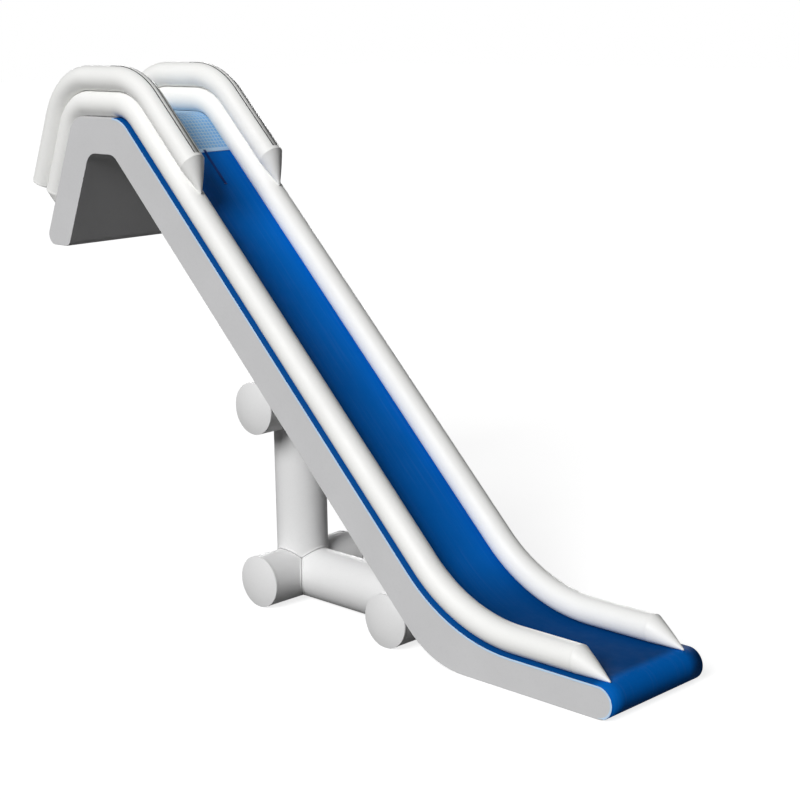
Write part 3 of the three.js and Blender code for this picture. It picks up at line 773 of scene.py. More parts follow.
tube_ends = {
    "cone_runout": ("runout", low_end, LEVEL, UP, LOW_RISE, WATER_CONE),
    "cone_slope": ("slope", high_end, DOWN, OUT, HIGH_RISE, SLOPE_CONE),
    "cone_deck": ("deck_low", low_foot, LEG_DOWN, LEG_OUT, LOW_RISE, DECK_CONE),
    "dome_deck": ("deck_high", high_foot, LEG_DOWN, LEG_OUT, HIGH_RISE, DECK_DOME),
}
for side, sign in SIDES:
    for word, (_, at, way, out, rise, length) in tube_ends.items():
        base = at + out * rise + ACROSS * (sign * LANE)
        if word == "dome_deck":
            closing = dome(f"{word}_{side}", base, way, TUBE, length)
        else:
            closing = cone(f"{word}_{side}", base, way, out, length)
        lay_cloth(closing, (sign * LANE, rise, TUBE))
        dress(closing, guard_cloth, "guard_pvc", f"guard_{word}_{side}")

# %% [markdown]
# ## Strips on the tubes
# A flat strip is welded along the crown of each upper tube. Narrow strips of dark cloth along
# both its edges paint the thin shadow lines there. The strip takes the wear of hands and lines.
# Its section is a short arc, drawn point by point round the tube's axis, and swept along the
# tube's own route.


# %% Crown strips
def tube_strip(name, corners, rise, y, low_angle, high_angle, proud):
    """A strip on a tube between two angles from its crown; also returns its width and length."""
    start, moves = route(corners, rise)
    way = (moves[0][2] - moves[0][1]).normalized()
    reach = TUBE + proud / 2
    steps = max(2, round((high_angle - low_angle) / 4))
    arc = []
    for i in range(steps + 1):
        angle = math.radians(low_angle + (high_angle - low_angle) * i / steps)
        away = left_of(way) * math.cos(angle) + ACROSS * math.sin(angle)
        arc.append(start + ACROSS * y + away * reach)
    piece = draw(name, arc)
    sweep(moves)
    done(piece)
    area = thicken(piece, proud)
    lay_cloth(piece, (y, rise, TUBE))
    wide = reach * math.radians(high_angle - low_angle)
    return piece, (wide, area / wide)


STRIP_BACK, STRIP_SHORT = 0.30, 0.045
# Painted shadow: this dark cloth on the two edge strips stands for the shadow lines at the crown
# strip's edges.
edge_shadow_cloth = cloth("painted edge shadow cloth", "2A2C30", 0.55)
strip_corners = [
    (slope_top - LEVEL * STRIP_BACK, 0),
    brow_corner,
    (high_end - DOWN * STRIP_SHORT, 0),
]
strips = {
    "crown_strip": (guard_cloth, -7, 11, 0.0024),
    "crown_edge_low": (edge_shadow_cloth, -12, -7, 0.003),
    "crown_edge_high": (edge_shadow_cloth, 11, 15, 0.003),
}
for side, sign in SIDES:
    for word, (finish, *section) in strips.items():
        name = f"{word}_{side}"
        strip, size = tube_strip(name, strip_corners, HIGH_RISE, sign * LANE, *section)
        dress(strip, finish, "guard_pvc")
        print(word, side, "cut", [round(c, 3) for c in size])

# %% [markdown]
# ## Seams
# Tubes and their ends are separate cuts of cloth, joined by a welded tape that runs round the
# tube. Such a band is a ring of cloth barely proud of the skin. It also hides where two meshes
# meet, so we make one helper for it and use it at every cone, dome and end cap.


# %% A welded band round a tube
def band(name, at, way, radius, width=0.03, proud=0.0013, sides=64):
    """A closed ring of cloth: low at both rims, proud between, and sunk into the skin inside."""
    low, high, sunk, ease = radius + 0.3 * proud, radius + proud, radius - 0.0015, 0.0018
    start = at - way * (width / 2)
    section = [(0, low), (ease, high), (width - ease, high), (width, low), (width, sunk)]
    stages = [(start + way * reach, now) for reach, now in section]
    piece = rings(name, start, way, sunk, stages, sides, closed=False)
    pick_open_edges()
    bpy.ops.mesh.bridge_edge_loops()
    return done(piece, 40)


SEAM_BACK = 0.014
for side, sign in SIDES:
    for word, at, way, out, rise, _ in tube_ends.values():
        middle = at + out * rise + ACROSS * (sign * LANE) - way * SEAM_BACK
        seam = band(f"seam_{word}_{side}", middle, way, TUBE)
        lay_cloth(seam, (sign * LANE, rise, TUBE))
        dress(seam, guard_cloth, "guard_pvc")

# %% [markdown]
# ## The sliding sheet
# A slippery blue sheet is stretched over the slope and round the nose. Cloth under tension has
# no folds, so a line as wide as the slab, swept along the top line and given its thickness, is
# the whole form. The mat lies in a bay that is cut out at the top.

# %% Sheet
BAY, MAT_END, MAT_GAP = 0.5415, 0.62, 0.0015
SHEET_RISE, SHEET_THICK, FLOOR_CUT = 0.0013, 0.002, 0.02
sheet_start = slope_top - LEVEL * (BROW_BEND * math.tan(math.radians(22.5)))
sheet_corners = [(sheet_start, 0)] + top_corners[2:]
start, sheet_moves = route(sheet_corners, SHEET_RISE)
sheet = draw("sliding_cloth", [start - ACROSS * HALF, start + ACROSS * HALF])
sweep(sheet_moves, 4)
cut(UP * FLOOR_CUT, UP, clear_inner=True)
for y in (-BAY, BAY):
    cut(ACROSS * y, ACROSS)
cut(slope_top + DOWN * (MAT_END + MAT_GAP), DOWN)


def in_bay(face):
    middle = face.calc_center_median()
    return abs(middle.y) < BAY and (middle - slope_top).dot(DOWN) < MAT_END


removed = pick(sheet, in_bay)
bpy.ops.mesh.delete(type="FACE")
done(sheet, 40)
sheet_area = thicken(sheet, SHEET_THICK)
lay_cloth(sheet)
dress(sheet, sheet_cloth, "sheet_pvc", "sliding_sheet")

# %% [markdown]
# ## Edge tape
# A light blue tape is welded along the upper edge of each flank, over the seam between the top
# skin and the side strip. It is a thin upright line swept along the same route.

# %% Edge tapes
TAPE_WIDE, TAPE_THICK, TAPE_ROUNDING, TAPE_Y = 0.022, 0.0026, 0.0009, 0.7486


def under_nose(face):
    middle = face.calc_center_median()
    return middle.z < 0.05 and middle.x < nose_centre


for side, sign in SIDES:
    start, moves = route(sheet_corners)
    top = start + ACROSS * (sign * TAPE_Y)
    tape = draw(f"edge_tape_skin_{side}", [top - UP * TAPE_WIDE, top])
    sweep(moves, 4)
    cut(UP * FLOOR_CUT, UP, clear_inner=True)
    pick(tape, under_nose)
    bpy.ops.mesh.delete(type="FACE")
    done(tape, 40)
    size = (TAPE_WIDE, thicken(tape, TAPE_THICK, TAPE_ROUNDING) / TAPE_WIDE)
    lay_cloth(tape)
    dress(tape, edge_cloth, "edge_pvc", f"edge_tape_{side}")

# %% [markdown]
# ## The landing mat
# Riders sit down on a foam mat with a grid of raised ribs, so that wet feet don't slip. A real
# mat is pressed in a mould. We sweep a line in steps of one cell, thicken it, round its rim, and
# inset every cell twice: once for the rib and once, pushed in, for the wall of the pocket.


# %% Foam
def foam(name, hex_code, worn):
    """Closed foam: pores, faded patches, and a paler tint where it is worn."""
    look, tree, skin, place, base = new_finish(name, hex_code)
    pores = noise(tree, place, 900, 2)
    patchy = noise(tree, place, 7, 5)
    tint = mixed(tree, between(tree, patchy, 0.35, 0.75, 0.0, 0.5), base, darker(base, 0.86))
    tint = mixed(tree, between(tree, pores, 0.5, 0.8, 0.0, 0.35), tint, worn)
    rough = between(tree, patchy, 0.3, 0.7, 0.62, 0.8)
    relief = bump(tree, pores, 0.0004, 0.7)
    plug(tree, skin, {"Base Color": tint, "Roughness": rough, "Normal": relief})
    plug(tree, skin, {"Specular IOR Level": 0.3})
    return look


mat_blue = foam("mat foam", "87BBE9", (0.42, 0.60, 0.80, 1))
rib_pale = foam("mat rib", "BDD6EA", (0.66, 0.80, 0.90, 1))

# %% Mat
CELL, CELLS_ACROSS, MAT_HALF = 0.05, 22, 0.54
MAT_RISE, MAT_THICK, MAT_ROUNDING = 0.0103, 0.01, 0.0025
RIB, POCKET_WALL, POCKET_DEEP = 0.0034, 0.0012, 0.0022
mat_start = leg_top + LEVEL * (RAIL_BEND * math.tan((math.pi / 2 - LEAN) / 2))
mat_corners = [(mat_start, 0), brow_corner, (slope_top + DOWN * MAT_END, 0)]
start, moves = route(mat_corners, MAT_RISE)
mat = draw("mat_foam_pad", [start - ACROSS * MAT_HALF, start + ACROSS * MAT_HALF])
bpy.ops.mesh.subdivide(number_cuts=CELLS_ACROSS - 1)
take_all()
for move in moves:
    if move[0] == "bend":
        sweep([move], 7.5)
        continue
    cells = max(1, round(length_of([move]) / CELL))
    for _ in range(cells):
        pull((move[2] - move[1]) / cells)
done(mat, 40)
thicken(mat, MAT_THICK, MAT_ROUNDING, offset=-1)
mat.data.materials.append(rib_pale)
mat.data.materials.append(mat_blue)
reopen(mat)


def on_top(face):
    middle = face.calc_center_median()
    rise = unroll(np.array([[middle.x, middle.z]]))[1][0]
    return rise > 0.0085 and face.calc_area() > 0.001


pockets = pick(mat, on_top)
bpy.ops.mesh.inset(thickness=RIB, depth=0, use_individual=True)
bpy.ops.mesh.inset(thickness=POCKET_WALL, depth=-POCKET_DEEP, use_individual=True)
mat.active_material_index = 1
bpy.ops.object.material_slot_assign()
done(mat, 25)
lay_cloth(mat)
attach(mat, "slide")
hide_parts("landing_mat")
print("mat pockets", pockets)

# %% [markdown]
# ## Support frame
# Three equal air tubes lie across the slide. An upright post and a level strut tie them together,
# and each end is closed by a shallow dome. On the real frame the post ends in a saddle that is
# cut to the tube it meets, so we cut it with the tube itself, by a Boolean.

# %% Cross tubes and end caps
BIG, CROSS_HALF, CAP_HIGH = 0.3, 0.7, 0.048
REAR_X, FRONT_X, LOW_Z, UPPER_Z = -0.5324, 1.519, 0.2986, 2.35
RIM_WIDE, RIM_PROUD = 0.036, 0.0016
axes = {
    "rear": Vector((REAR_X, 0, LOW_Z)),
    "front": Vector((FRONT_X, 0, LOW_Z)),
    "upper": Vector((REAR_X, 0, UPPER_Z)),
}


def log(name, start, way, length, radius, sides=96):
    """A closed straight tube with flat ends."""
    piece = round_start(name, start, way, radius, sides)
    bpy.ops.mesh.edge_face_add()
    pull(way * length)
    return done(piece, 40)


def cross_log(name, axis, radius):
    return log(name, axis - ACROSS * CROSS_HALF, ACROSS, 2 * CROSS_HALF, radius)


def dress_frame(piece, axis, way, *nodes):
    lay_round(piece, axis, way, BIG)
    dress(piece, frame_cloth, "frame_pvc", *nodes)


for word, axis in axes.items():
    cross = cross_log(f"cross_skin_{word}", axis, BIG)
    dress_frame(cross, axis, ACROSS, f"cross_tube_{word}")
    for side, sign in SIDES:
        base = axis + ACROSS * (sign * CROSS_HALF)
        end = f"{word}_{side}"
        cap = dome(f"cap_skin_{end}", base, ACROSS * sign, BIG, CAP_HIGH, 10, 96)
        dress_frame(cap, axis, ACROSS, f"end_cap_{end}")
        middle = base - ACROSS * (sign * RIM_WIDE / 2)
        rim = band(f"cap_seam_{end}", middle, ACROSS, BIG, RIM_WIDE, RIM_PROUD, 96)
        dress_frame(rim, axis, ACROSS)


# %% Post and strut with saddle ends
def carve(piece, cutter):
    modify(piece, "BOOLEAN", operation="DIFFERENCE", object=cutter, solver="EXACT")
    bpy.data.objects.remove(cutter)


def limb(name, way, ends, kept):
    """A tube with a saddle cut at both ends; of its start, the side towards kept remains."""
    start, end = ends
    piece = log(name, start, way, (end - start).length, BIG)
    for axis in ends:
        carve(piece, cross_log("cutter", axis, BIG + GAP))
    reopen(piece)
    cut(start + kept * (GAP / 2), kept, use_fill=True, clear_inner=True)
    return done(piece, 40)


post = limb("post_skin", UP, (axes["rear"], axes["upper"]), -DOWN)
dress_frame(post, axes["rear"], UP, "support_post")
strut = limb("strut_skin", LEVEL, (axes["rear"], axes["front"]), DOWN)
dress_frame(strut, axes["rear"], LEVEL, "support_strut")

# %% [markdown]
# ## Weld tapes of the frame
# Where two air tubes meet, a tape of the same cloth runs along the joint on both tubes. We draw
# the joint line point by point round a tube, and pull it out along the tube to the tape's width.

# %% Weld tapes
WELD, WELD_THICK, WELD_RISE = 0.03, 0.0013, 0.0008


def weld_strip(axis, along, first, second, start, end, lift):
    """A tape round a tube from one angle to another; lift is the joint line's place along it."""
    steps = round((end - start) / 3.75)
    line = []
    for i in range(steps + 1):
        angle = math.radians(start + (end - start) * i / steps)
        away = first * math.cos(angle) + second * math.sin(angle)
        line.append(axis + away * (BIG + WELD_RISE) + along * (BIG * lift(away)))
    piece = draw("weld", line)
    pull(along * WELD)
    done(piece)
    area = thicken(piece, WELD_THICK)
    lay_round(piece, axis, along, BIG)
    return piece, area


joints = {
    "rear": ((UP, LEVEL), -90, 180),
    "upper": ((-UP,), 180, 360),
    "front": ((-LEVEL,), 90, 270),
}
for word, (limbs, start, end) in joints.items():
    strips = [
        weld_strip(axes[word], ACROSS * sign, LEVEL, UP, start, end,
                   lambda away: max(away.dot(limb_way) for limb_way in limbs))
        for sign in (-1, 1)
    ]
    for limb_way in limbs:
        others = [way for way in limbs if way != limb_way]
        strips.append(
            weld_strip(axes[word], limb_way, ACROSS, limb_way.cross(ACROSS), 0, 360,
                       lambda away: max([abs(away.y)] + [away.dot(way) for way in others]))
        )
    weld_tape = joined(f"frame_weld_{word}", *[piece for piece, _ in strips])
    dress(weld_tape, frame_cloth, "frame_pvc")

# %% [markdown]
# ## Bridging tapes
# The frame is held to the slab by strips of the same cloth, half welded to the slab and half to
# the tube, one on each side of the line where they touch. Seen from the end such a strip is a
# V. We draw the V with a line as long as the strip: one run on the slab, one bend on the tube.

# %% Bridging tapes
FLANGE, TAPE_RISE, BRIDGE_HALF, TO_SLAB = 0.07, 0.0016, 0.6, 0.2989
BRIDGE_THICK = 0.0016
reach = BIG + TAPE_RISE
elbow = math.acos((TO_SLAB - TAPE_RISE) / reach)
for word in ("upper", "front"):
    contact = axes[word] + OUT * TO_SLAB
    for above, sign in (("above", -1), ("below", 1)):
        fold = contact + DOWN * (sign * reach * math.sin(elbow)) - OUT * TAPE_RISE
        outer = fold + DOWN * (sign * FLANGE)
        line = [outer - ACROSS * BRIDGE_HALF, outer + ACROSS * BRIDGE_HALF]
        bridge = draw(f"bridge_{word}_{above}", line)
        sweep([("run", outer, fold), ("bend", axes[word], fold, -sign * FLANGE / reach)])
        done(bridge)
        thicken(bridge, BRIDGE_THICK)
        lay_round(bridge, axes[word], ACROSS, BIG)
        dress(bridge, slab_cloth, "slab_pvc", f"bridge_tape_{word}_{above}")

# %% [markdown]
# ## Sewn work
# Webbing and hems are sewn with thick thread. One stitch is a tiny six-sided bar with tapered
# ends; a row of them comes from an array. We model it once and copy it along each row, so
# every seam on the slide has the same hand.


# %% Threads, webbing and mouldings
def moulded(name, hex_code, low, high, grain=0.00006, metal=0.0, shine=0.5):
    """Moulded plastic, wire or thread: fine grain, small changes of tint and of gloss."""
    look, tree, skin, place, base = new_finish(name, hex_code)
    handled = noise(tree, place, 45, 5)
    fine = noise(tree, place, 1400, 3)
    tint = mixed(tree, between(tree, handled, 0.3, 0.75), base, darker(base, 0.82))
    tint = mixed(tree, between(tree, fine, 0.55, 0.8, 0.0, 0.3), tint, lighter(base, 0.12))
    rough = between(tree, handled, 0.3, 0.7, low, high)
    relief = bump(tree, fine, grain, 0.6)
    plug(tree, skin, {"Base Color": tint, "Roughness": rough, "Normal": relief})
    plug(tree, skin, {"Specular IOR Level": shine, "Metallic": metal})
    return look


strap_web = cloth("strap webbing", "0A3378", 0.78, 0.25, soil=0.2, weave=0.004, relief=0.0005)
hem_cloth = cloth("hem cloth", "C4E2FC", 0.5, 0.4, soil=0.08)
thread = moulded("sewing thread", "C9D3DE", 0.6, 0.8)
stainless = moulded("stainless wire", "B9BCC0", 0.2, 0.36, grain=0.00002, metal=1.0)
valve_grey = moulded("valve plastic", "5C6066", 0.42, 0.58)
valve_black = moulded("cap plastic", "1E1F22", 0.38, 0.55)
print("finishes:", len(bpy.data.materials))


# %% Stitches
def stitches(name, start, end, out, pitch=0.006, thick=0.0009):
    """A row of stitches from one point to another, lying on the side that out points to."""
    count = max(1, int((end - start).length / pitch))
    way = (end - start).normalized()
    first = start + out * (thick * 0.2)
    slim, full = thick * 0.3, thick * 0.51
    section = ((0.15, full), (0.55, full), (0.7, slim))
    stages = [(first + way * (pitch * reach), now) for reach, now in section]
    row = done(rings(name, first, way, slim, stages, 6))
    modify(row, "ARRAY", count=count, use_relative_offset=False, use_constant_offset=True,
           constant_offset_displace=way * pitch)
    return row


def sewn_box(name, corners, out, crossed):
    """Rows round four corners and along one diagonal, or along both if crossed."""
    lines = [(0, 1), (1, 2), (2, 3), (3, 0), (0, 2)] + [(3, 1)] * crossed
    return [stitches(name, corners[a], corners[b], out, 0.004) for a, b in lines]


# %% [markdown]
# ## The mat's hem and the grab strap
# A bright strip of cloth is folded over the front edge of the mat, where riders start to slide.
# From it a flat strap lies down the slope, to pull oneself back up by. It is webbing: it lies
# in slight waves, its lower end is folded double, and both ends are sewn.


# %% Hem
def on_slope(down, rise, y=0.0):
    return slope_top + DOWN * down + OUT * rise + ACROSS * y


HEM, HEM_RISE, HEM_FOLD = 0.052, 0.0109, 0.0105
hem_sides = (-MAT_HALF, MAT_HALF)
hem = draw("mat_front_hem", [on_slope(MAT_END - HEM, HEM_RISE, y) for y in hem_sides])
# Along the mat, round its edge, and down its front
for way in (DOWN * (HEM - 0.001), DOWN * 0.002 - OUT * 0.0006, DOWN * 0.0002 - OUT * 0.0095):
    pull(way)
done(hem)
thicken(hem, 0.0009, 0.0003)
lay_cloth(hem)
dress(hem, hem_cloth, "edge_pvc")
hem_rows = [
    stitches("hem_row", *[on_slope(down, 0.0114, y) for y in (-0.535, 0.535)], OUT)
    for down in (MAT_END - HEM + 0.004, MAT_END - 0.005)
]
hem_seams = joined("mat_hem_stitches", *hem_rows)
dress(hem_seams, thread, "webbing")

# %% Grab strap
STRAP_Y, STRAP_WIDE, STRAP_THICK, BOX_HALF = 0.156, 0.038, 0.0018, 0.015
HANG_START, HANG_LONG, HANG_STEPS = 0.631, 0.502, 40
FOLD_STEP, FOLD_RISE = 0.012, 0.0022
strap_line = [(0.586, 0.0126), (0.616, 0.0126), (0.6235, 0.0112), (0.6262, 0.0072)]
strap_line.append((HANG_START, 0.0046))
for i in range(1, HANG_STEPS + 1):
    wave = 0.0009 * math.sin(i * 0.55) + 0.0006 * math.sin(i * 0.21 + 1)
    strap_line.append((HANG_START + HANG_LONG * i / HANG_STEPS, 0.0050 + wave))
last_down, last_rise = strap_line[-1]
strap_line += [(last_down + 0.0014, last_rise + 0.0012), (last_down, last_rise + 0.0024)]
strap_line += [
    (last_down - FOLD_STEP * i, strap_line[-3 - i][1] + FOLD_RISE) for i in range(1, 5)
]
strap_sides = (STRAP_Y - STRAP_WIDE / 2, STRAP_Y + STRAP_WIDE / 2)
strap = draw("grab_strap_web", [on_slope(*strap_line[0], y) for y in strap_sides])
strap_moves = runs([on_slope(*spot) for spot in strap_line])
sweep(strap_moves)
done(strap)
thicken(strap, STRAP_THICK, 0.0004)
lay_cloth(strap)
dress(strap, strap_web, "webbing", "grab_strap")
left, right = STRAP_Y - BOX_HALF, STRAP_Y + BOX_HALF
strap_rows = []
for low, high, rise in (
    (0.590, 0.612, 0.0137),
    (last_down - 0.042, last_down - 0.006, last_rise + 0.0034),
):
    box = [(low, left), (low, right), (high, right), (high, left)]
    strap_rows += sewn_box("strap_row", [on_slope(x, rise, y) for x, y in box], OUT, True)
strap_seams = joined("grab_strap_stitches", *strap_rows)
dress(strap_seams, thread, "webbing")
print("strap length", round(length_of(strap_moves), 3))

# %% [markdown]
# ## Inflation valves
# Each air chamber has one valve: a moulded housing whose bore is closed by a spring-loaded disc,
# under a flip cap that keeps water and sand out. We model one valve at the origin, standing up,
# with its hinge towards -x. Turned parts are half sections spun round; the hinge plates are
# side views pulled out. Then each part is copied to the four places.

# %% Helpers for turned and flat parts
MM = 0.001
CENTRE = (0, 0, 0)


def turned_part(name, profile, sides=64, rounding=0.0003):
    """Draws half a section, in millimetres from the axis, and spins it round."""
    piece = draw(name, [Vector((reach, 0, height)) * MM for reach, height in profile])
    bpy.ops.mesh.spin(steps=sides, angle=2 * math.pi, center=CENTRE, axis=(0, 0, 1))
    done(piece, 35)
    if rounding:
        round_edges(piece, rounding, 0.7)
        modify(piece, "WEIGHTED_NORMAL", keep_sharp=True)
    return piece


def in_metres(corners):
    """Corners of a side view that are given as x, z and radius in millimetres."""
    return [(Vector((x, 0, z)) * MM, radius * MM) for x, z, radius in corners]


def plate(name, corners, low_y, high_y, rounding=0.0004):
    """A flat part with rounded corners, in millimetres, pulled out along y."""
    piece = side_view(name, in_metres(corners), low_y * MM, high_y * MM, 15)
    done(piece, 35)
    round_edges(piece, rounding, 0.9)
    modify(piece, "WEIGHTED_NORMAL", keep_sharp=True)
    return piece


# %% Valve housing
HINGE_X, HINGE_Z = -34.0, 38.8
housing_line = [(0, -7.7), (40, -7.7), (40, 3.6), (38.6, 4.3), (36, 4.3), (35.4, 3.7), (30, 3.7)]
housing_line += [(29.4, 4.9), (27.6, 6.2), (27, 8.5), (27, 27), (28.1, 27.8), (28.1, 29.6)]
housing_line += [(27, 30.4), (27, 36), (21, 36)]
for ridge in (31.0, 28.4, 25.8, 23.2):
    housing_line += [(21, ridge + 0.9), (20.3, ridge + 0.3), (20.3, ridge - 0.3), (21, ridge - 0.9)]
housing_line += [(21, 20.3), (11, 20.3), (11, 17.3), (21, 17.3), (21, 4.0), (0, 4.0)]
shell = turned_part("housing_shell", housing_line, 72)
ear_line = [(-25.6, 12.3, 0.5), (-38.6, 25, 3), (-38.6, 43.4, 4.55), (-29.4, 43.4, 4.55)]
ear_line += [(-29.4, 36, 1), (-25.6, 36, 0.5)]
ears = [plate("ear", ear_line, *span) for span in ((6.5, 10.5), (-10.5, -6.5))]
rib = block_start("flange_rib", (0.0325, 0, 0.0042), (0.0058, 0.0011, 0.0016))
bpy.ops.mesh.bevel(offset=0.0003, segments=1)
take_all()
bpy.ops.mesh.spin(steps=24, angle=2 * math.pi, center=CENTRE, axis=(0, 0, 1), dupli=True)
done(rib, 35)
housing = joined("valve_housing", shell, *ears, rib)
pin_line = [(0, -11.2), (3.0, -11.0), (3.2, -10.5), (2.0, -10.5), (2.0, 10.5), (3.2, 10.5)]
pin = turned_part("hinge_pin", pin_line + [(3.0, 11.0), (0, 11.2)], 24, 0)
pin.matrix_world = (
    Matrix.Translation((HINGE_X * MM, 0, HINGE_Z * MM)) @ Matrix.Rotation(math.pi / 2, 4, "X")
)
print("housing", len(housing.data.polygons), "faces")

# %% Valve cap
lid_line = [(0, 32.3), (20, 32.3), (20, 33.4), (19.3, 33.7), (19.3, 34.6), (20, 34.9), (20, 36.3)]
lid_line += [(28.6, 36.3), (29, 36.7), (29, 40.1), (27.7, 41.4), (24.6, 41.7), (24.2, 41.1)]
lid_line += [(21, 41.1), (20.6, 41.7), (12, 42.4), (0, 42.8)]
lid = turned_part("lid", lid_line, 72, 0.0002)
reopen(lid)


def grip_face(face):
    """Every second upright face of the lid's rim."""
    middle = face.calc_center_median()
    reach = math.hypot(middle.x, middle.y)
    tall = max(v.co.z for v in face.verts) - min(v.co.z for v in face.verts)
    order = round(math.degrees(math.atan2(middle.y, middle.x)) / 5 - 0.5)
    return reach > 0.0288 and tall > 0.0015 and order % 2 == 0


grips = pick(lid, grip_face)
bpy.ops.mesh.inset(thickness=0.0003, depth=0.0007, use_individual=True)
done(lid, 35)


def tab_corner(edge):
    a, b = edge.verts
    return abs(a.co.z - b.co.z) > 0.001 and min(a.co.x, b.co.x) > 0.03


tab = block_start("tab", (0.029, 0, 0.03755), (0.018, 0.016, 0.0025))
pick(tab, tab_corner, "EDGE")
bpy.ops.mesh.bevel(offset=0.006, segments=7)
pick(tab, lambda face: face.normal.z > 0.9)
bpy.ops.mesh.inset(thickness=0.0014, depth=0)
bpy.ops.mesh.inset(thickness=0.0006, depth=-0.0006)
done(tab, 35)
round_edges(tab, 0.0003, 0.9)
arm_line = [(-20, 36.3, 0.3), (-20, 41.2, 0.3), (-30, 41.2, 2), (-31.5, 43.4, 1.5)]
arm_line += [(-38.6, 43.4, 4.55), (-38.6, 34.2, 4.55), (-31.5, 34.2, 1.5), (-30, 36.3, 2)]
arm = plate("arm", arm_line, -6, 6)
hole_at = Vector((HINGE_X, -20, HINGE_Z)) * MM
carve(arm, log("pin hole", hole_at, ACROSS, 0.04, 2.35 * MM, 24))
cap = joined("valve_cap", lid, tab, arm)
print("grip ribs", grips)

# %% Valve disc, spring and cloth ring
RING_HOLE, RING_OUT, RING_THICK = 0.036, 0.062, 0.0012
poppet_line = [(0, 11), (2.5, 11), (2.5, 14), (14, 14), (14, 17), (3, 17), (3, 23.3), (5, 23.3)]
poppet_line += [(5, 25.3), (2, 25.3), (1.6, 24.8), (0, 24.8)]
poppet = turned_part("valve_disc", poppet_line, 40)
spring = round_start("valve_spring", Vector((8.5, 0, 5.0)) * MM, ACROSS, 0.7 * MM, 10)
done(spring)
modify(spring, "SCREW", axis="Z", angle=8 * math.pi, screw_offset=0.008,
       steps=144, render_steps=144)
reopen(spring)
bpy.ops.mesh.remove_doubles(threshold=1e-6)
pick_open_edges()
bpy.ops.mesh.edge_face_add()
done(spring)
above = Vector((0, 0, 0.0005))
collar_stages = [(above, radius) for radius in (0.042, 0.048, 0.054, 0.058, RING_OUT)]
collar = done(rings("valve_collar", above, UP, RING_HOLE, collar_stages, closed=False))
print("valve parts ready")


# %% Copies of the valve at its four places
def put(master, name, seat):
    """Copies a finished piece to a place, with a mesh of its own."""
    free_hand()
    bpy.context.view_layer.objects.active = master
    master.select_set(True)
    bpy.ops.object.duplicate()
    copy = bpy.context.object
    copy.name = copy.data.name = name
    copy.matrix_world = seat @ master.matrix_world
    bpy.ops.object.transform_apply(location=True, rotation=True, scale=True)
    free_hand()
    return copy


def seat_at(spot, away, out):
    """The place of a part: its x away from the hinge, its z out of the skin."""
    return Matrix.Translation(spot) @ Matrix((away, out.cross(away), out)).transposed().to_4x4()


FLAT = 5.0
SLAB_VALVE_DOWN, SLAB_VALVE_Y, FRAME_VALVE_Z, GUARD_VALVE_DOWN = 1.66, 0.33, 1.25, 0.797
VALVE_RING_RISE, BORE_FLOOR = 0.0009, 4.3 * MM
slab_seat = slope_inside + DOWN * SLAB_VALVE_DOWN + ACROSS * SLAB_VALVE_Y
frame_seat = axes["rear"] - LEVEL * BIG
frame_seat.z = FRAME_VALVE_Z
guard_seat = leg_top + LEG_OUT * (HIGH_RISE + TUBE) + LEG_DOWN * GUARD_VALVE_DOWN
seats = {
    "slab": (slab_seat, DOWN, -OUT, "slab_skin", slab_cloth, "slab_pvc", FLAT),
    "frame": (frame_seat, -UP, -LEVEL, "post_skin", frame_cloth, "frame_pvc", BIG),
}
for side, sign in SIDES:
    guard_spot = guard_seat + ACROSS * (sign * LANE)
    seats[f"guard_{side}"] = (guard_spot, LEG_DOWN, LEG_OUT, f"guard_high_{side}",
                              guard_cloth, "guard_pvc", TUBE)
for word, (spot, away, out, skin, finish, slot, curve) in seats.items():
    seat = seat_at(spot, away, out)
    ring = put(collar, f"{word}_valve_ring", seat)
    modify(ring, "SHRINKWRAP", target=bpy.data.objects[skin], wrap_method="NEAREST_SURFACEPOINT",
           wrap_mode="ABOVE_SURFACE", offset=VALVE_RING_RISE)
    thicken(ring, RING_THICK)
    lay_round(ring, spot - out * curve, away, curve)
    dress(ring, finish, slot)
    valve = f"{word}_valve"
    dress(put(housing, f"{valve}_housing", seat), valve_grey, "valve_housing", f"{valve}_body")
    dress(put(pin, f"{valve}_pin", seat), stainless, "stainless")
    dress(put(cap, f"{valve}_flip_cap", seat), valve_black, "valve_parts",
          f"{valve}_cap", body=f"{valve}_cap")
    dress(put(poppet, f"{valve}_disc", seat), valve_black, "valve_parts",
          f"{valve}_poppet", body=f"{valve}_poppet")
    coil = put(spring, f"{valve}_coil", seat)
    dress(coil, stainless, "stainless", f"{valve}_spring")
    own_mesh(coil)
    print(word, "valve at", [round(c, 3) for c in spot])
for master in (housing, pin, cap, poppet, spring, collar):
    bpy.data.objects.remove(master)

# %% [markdown]
# ## Tether rings
# Lines from the boat clip to four D-rings under the slope. A ring is bent from one round wire.
# It hangs in a keeper of webbing, sewn to a round patch that is welded to the slab in two
# layers. The ring is one circle swept along a rounded outline, and the keeper is a line swept
# over the ring's bar.

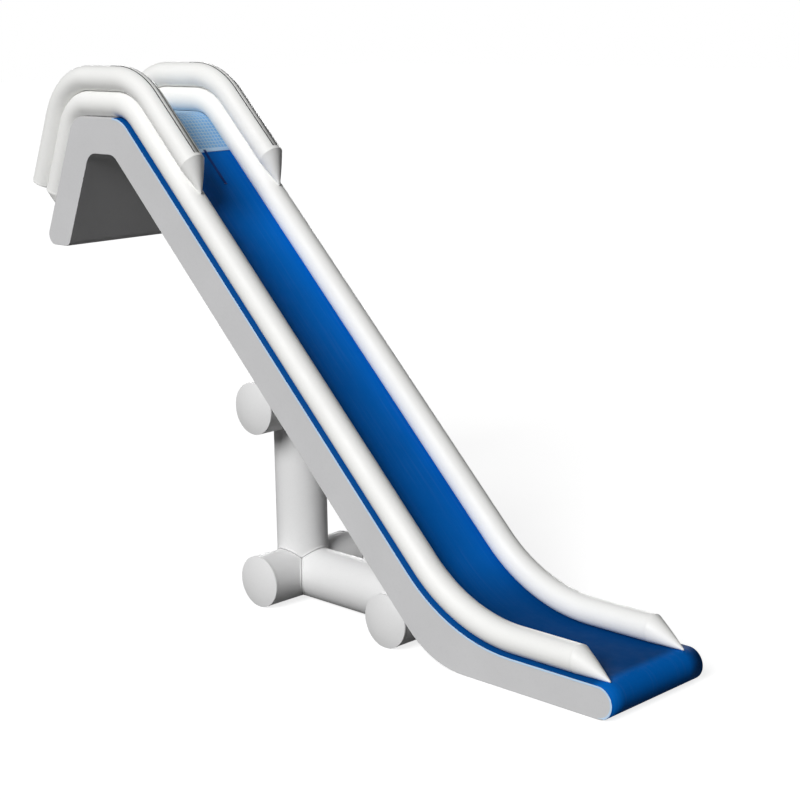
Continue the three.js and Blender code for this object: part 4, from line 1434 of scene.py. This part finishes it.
# %% Ring, patch and keeper
WIRE, KEEPER_HALF, KEEPER_THICK, KEEPER_ROUNDING = 4 * MM, 0.015, 0.0016, 0.0004
wire_line = [(-24, 0, 6), (24, 0, 6), (24, -34, 23), (-24, -34, 23)]
start, moves = route(in_metres(wire_line), closed=True)
d_wire = round_start("d_wire", start, LEVEL, WIRE, 16)
sweep(moves, 9)
done(d_wire)
patch_line = [(0, 0.3), (54.4, 0.3), (55, 0.8), (54.2, 1.7), (43.2, 2.1), (42.6, 3.2), (0, 3.4)]
patch = turned_part("patch", patch_line, 72, 0)
keeper_line = [(-40, 4.4, 0), (-8.2, 4.4, 3), (-6.3, 16.6, 5.9), (6.3, 16.6, 5.9), (8.2, 4.4, 3)]
start, keeper_moves = route(in_metres([*keeper_line, (40, 4.4, 0)]))
keeper = draw("keeper", [start - ACROSS * KEEPER_HALF, start + ACROSS * KEEPER_HALF])
sweep(keeper_moves, 15)
done(keeper)
thicken(keeper, KEEPER_THICK, KEEPER_ROUNDING)
keeper_rows = []
for sign in (-1, 1):
    near, far = sign * 0.013, sign * 0.037
    box = [(near, -0.012), (near, 0.012), (far, 0.012), (far, -0.012)]
    corners = [Vector((x, y, 0.0053)) for x, y in box]
    keeper_rows += sewn_box("keeper_row", corners, UP, False)
keeper_seams = joined("keeper_stitches", *keeper_rows)

# %% Copies of the tether ring
BAR, RING_Y, PATCH_LEVEL = 10.8 * MM, 0.45, 0.29886
for word, up_slope, axis in (("upper", 1.476, axes["upper"]), ("lower", 1.198, axes["front"])):
    for side, sign in SIDES:
        ending = f"{word}_{side}"
        spot = axis + OUT * PATCH_LEVEL - DOWN * up_slope + ACROSS * (sign * RING_Y)
        seat = seat_at(spot, -DOWN, -OUT)
        disc = put(patch, f"patch_{ending}", seat)
        lay_round(disc, spot + OUT * FLAT, ACROSS, FLAT)
        dress(disc, patch_cloth, "patch_pvc", f"ring_patch_{ending}")
        loop = put(keeper, f"keeper_{ending}", seat)
        lay_round(loop, spot + OUT * FLAT, ACROSS, FLAT)
        dress(loop, strap_web, "webbing")
        sewn = put(keeper_seams, f"keeper_stitches_{ending}", seat)
        dress(sewn, thread, "webbing")
        hang = seat_at(spot - OUT * BAR, ACROSS, UP)
        dress(put(d_wire, f"d_wire_{ending}", hang), stainless, "stainless",
              f"d_ring_{ending}", body=f"d_ring_{ending}")
for master in (d_wire, patch, keeper, keeper_seams):
    bpy.data.objects.remove(master)

# %% [markdown]
# ## Sizes
# The box round all that is drawn is printed. The skins should lie close on the solids of the CAD
# frame.

# %% Print the size of the whole
low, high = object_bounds()
print("visual box", [round(c, 3) for c in low], [round(c, 3) for c in high])
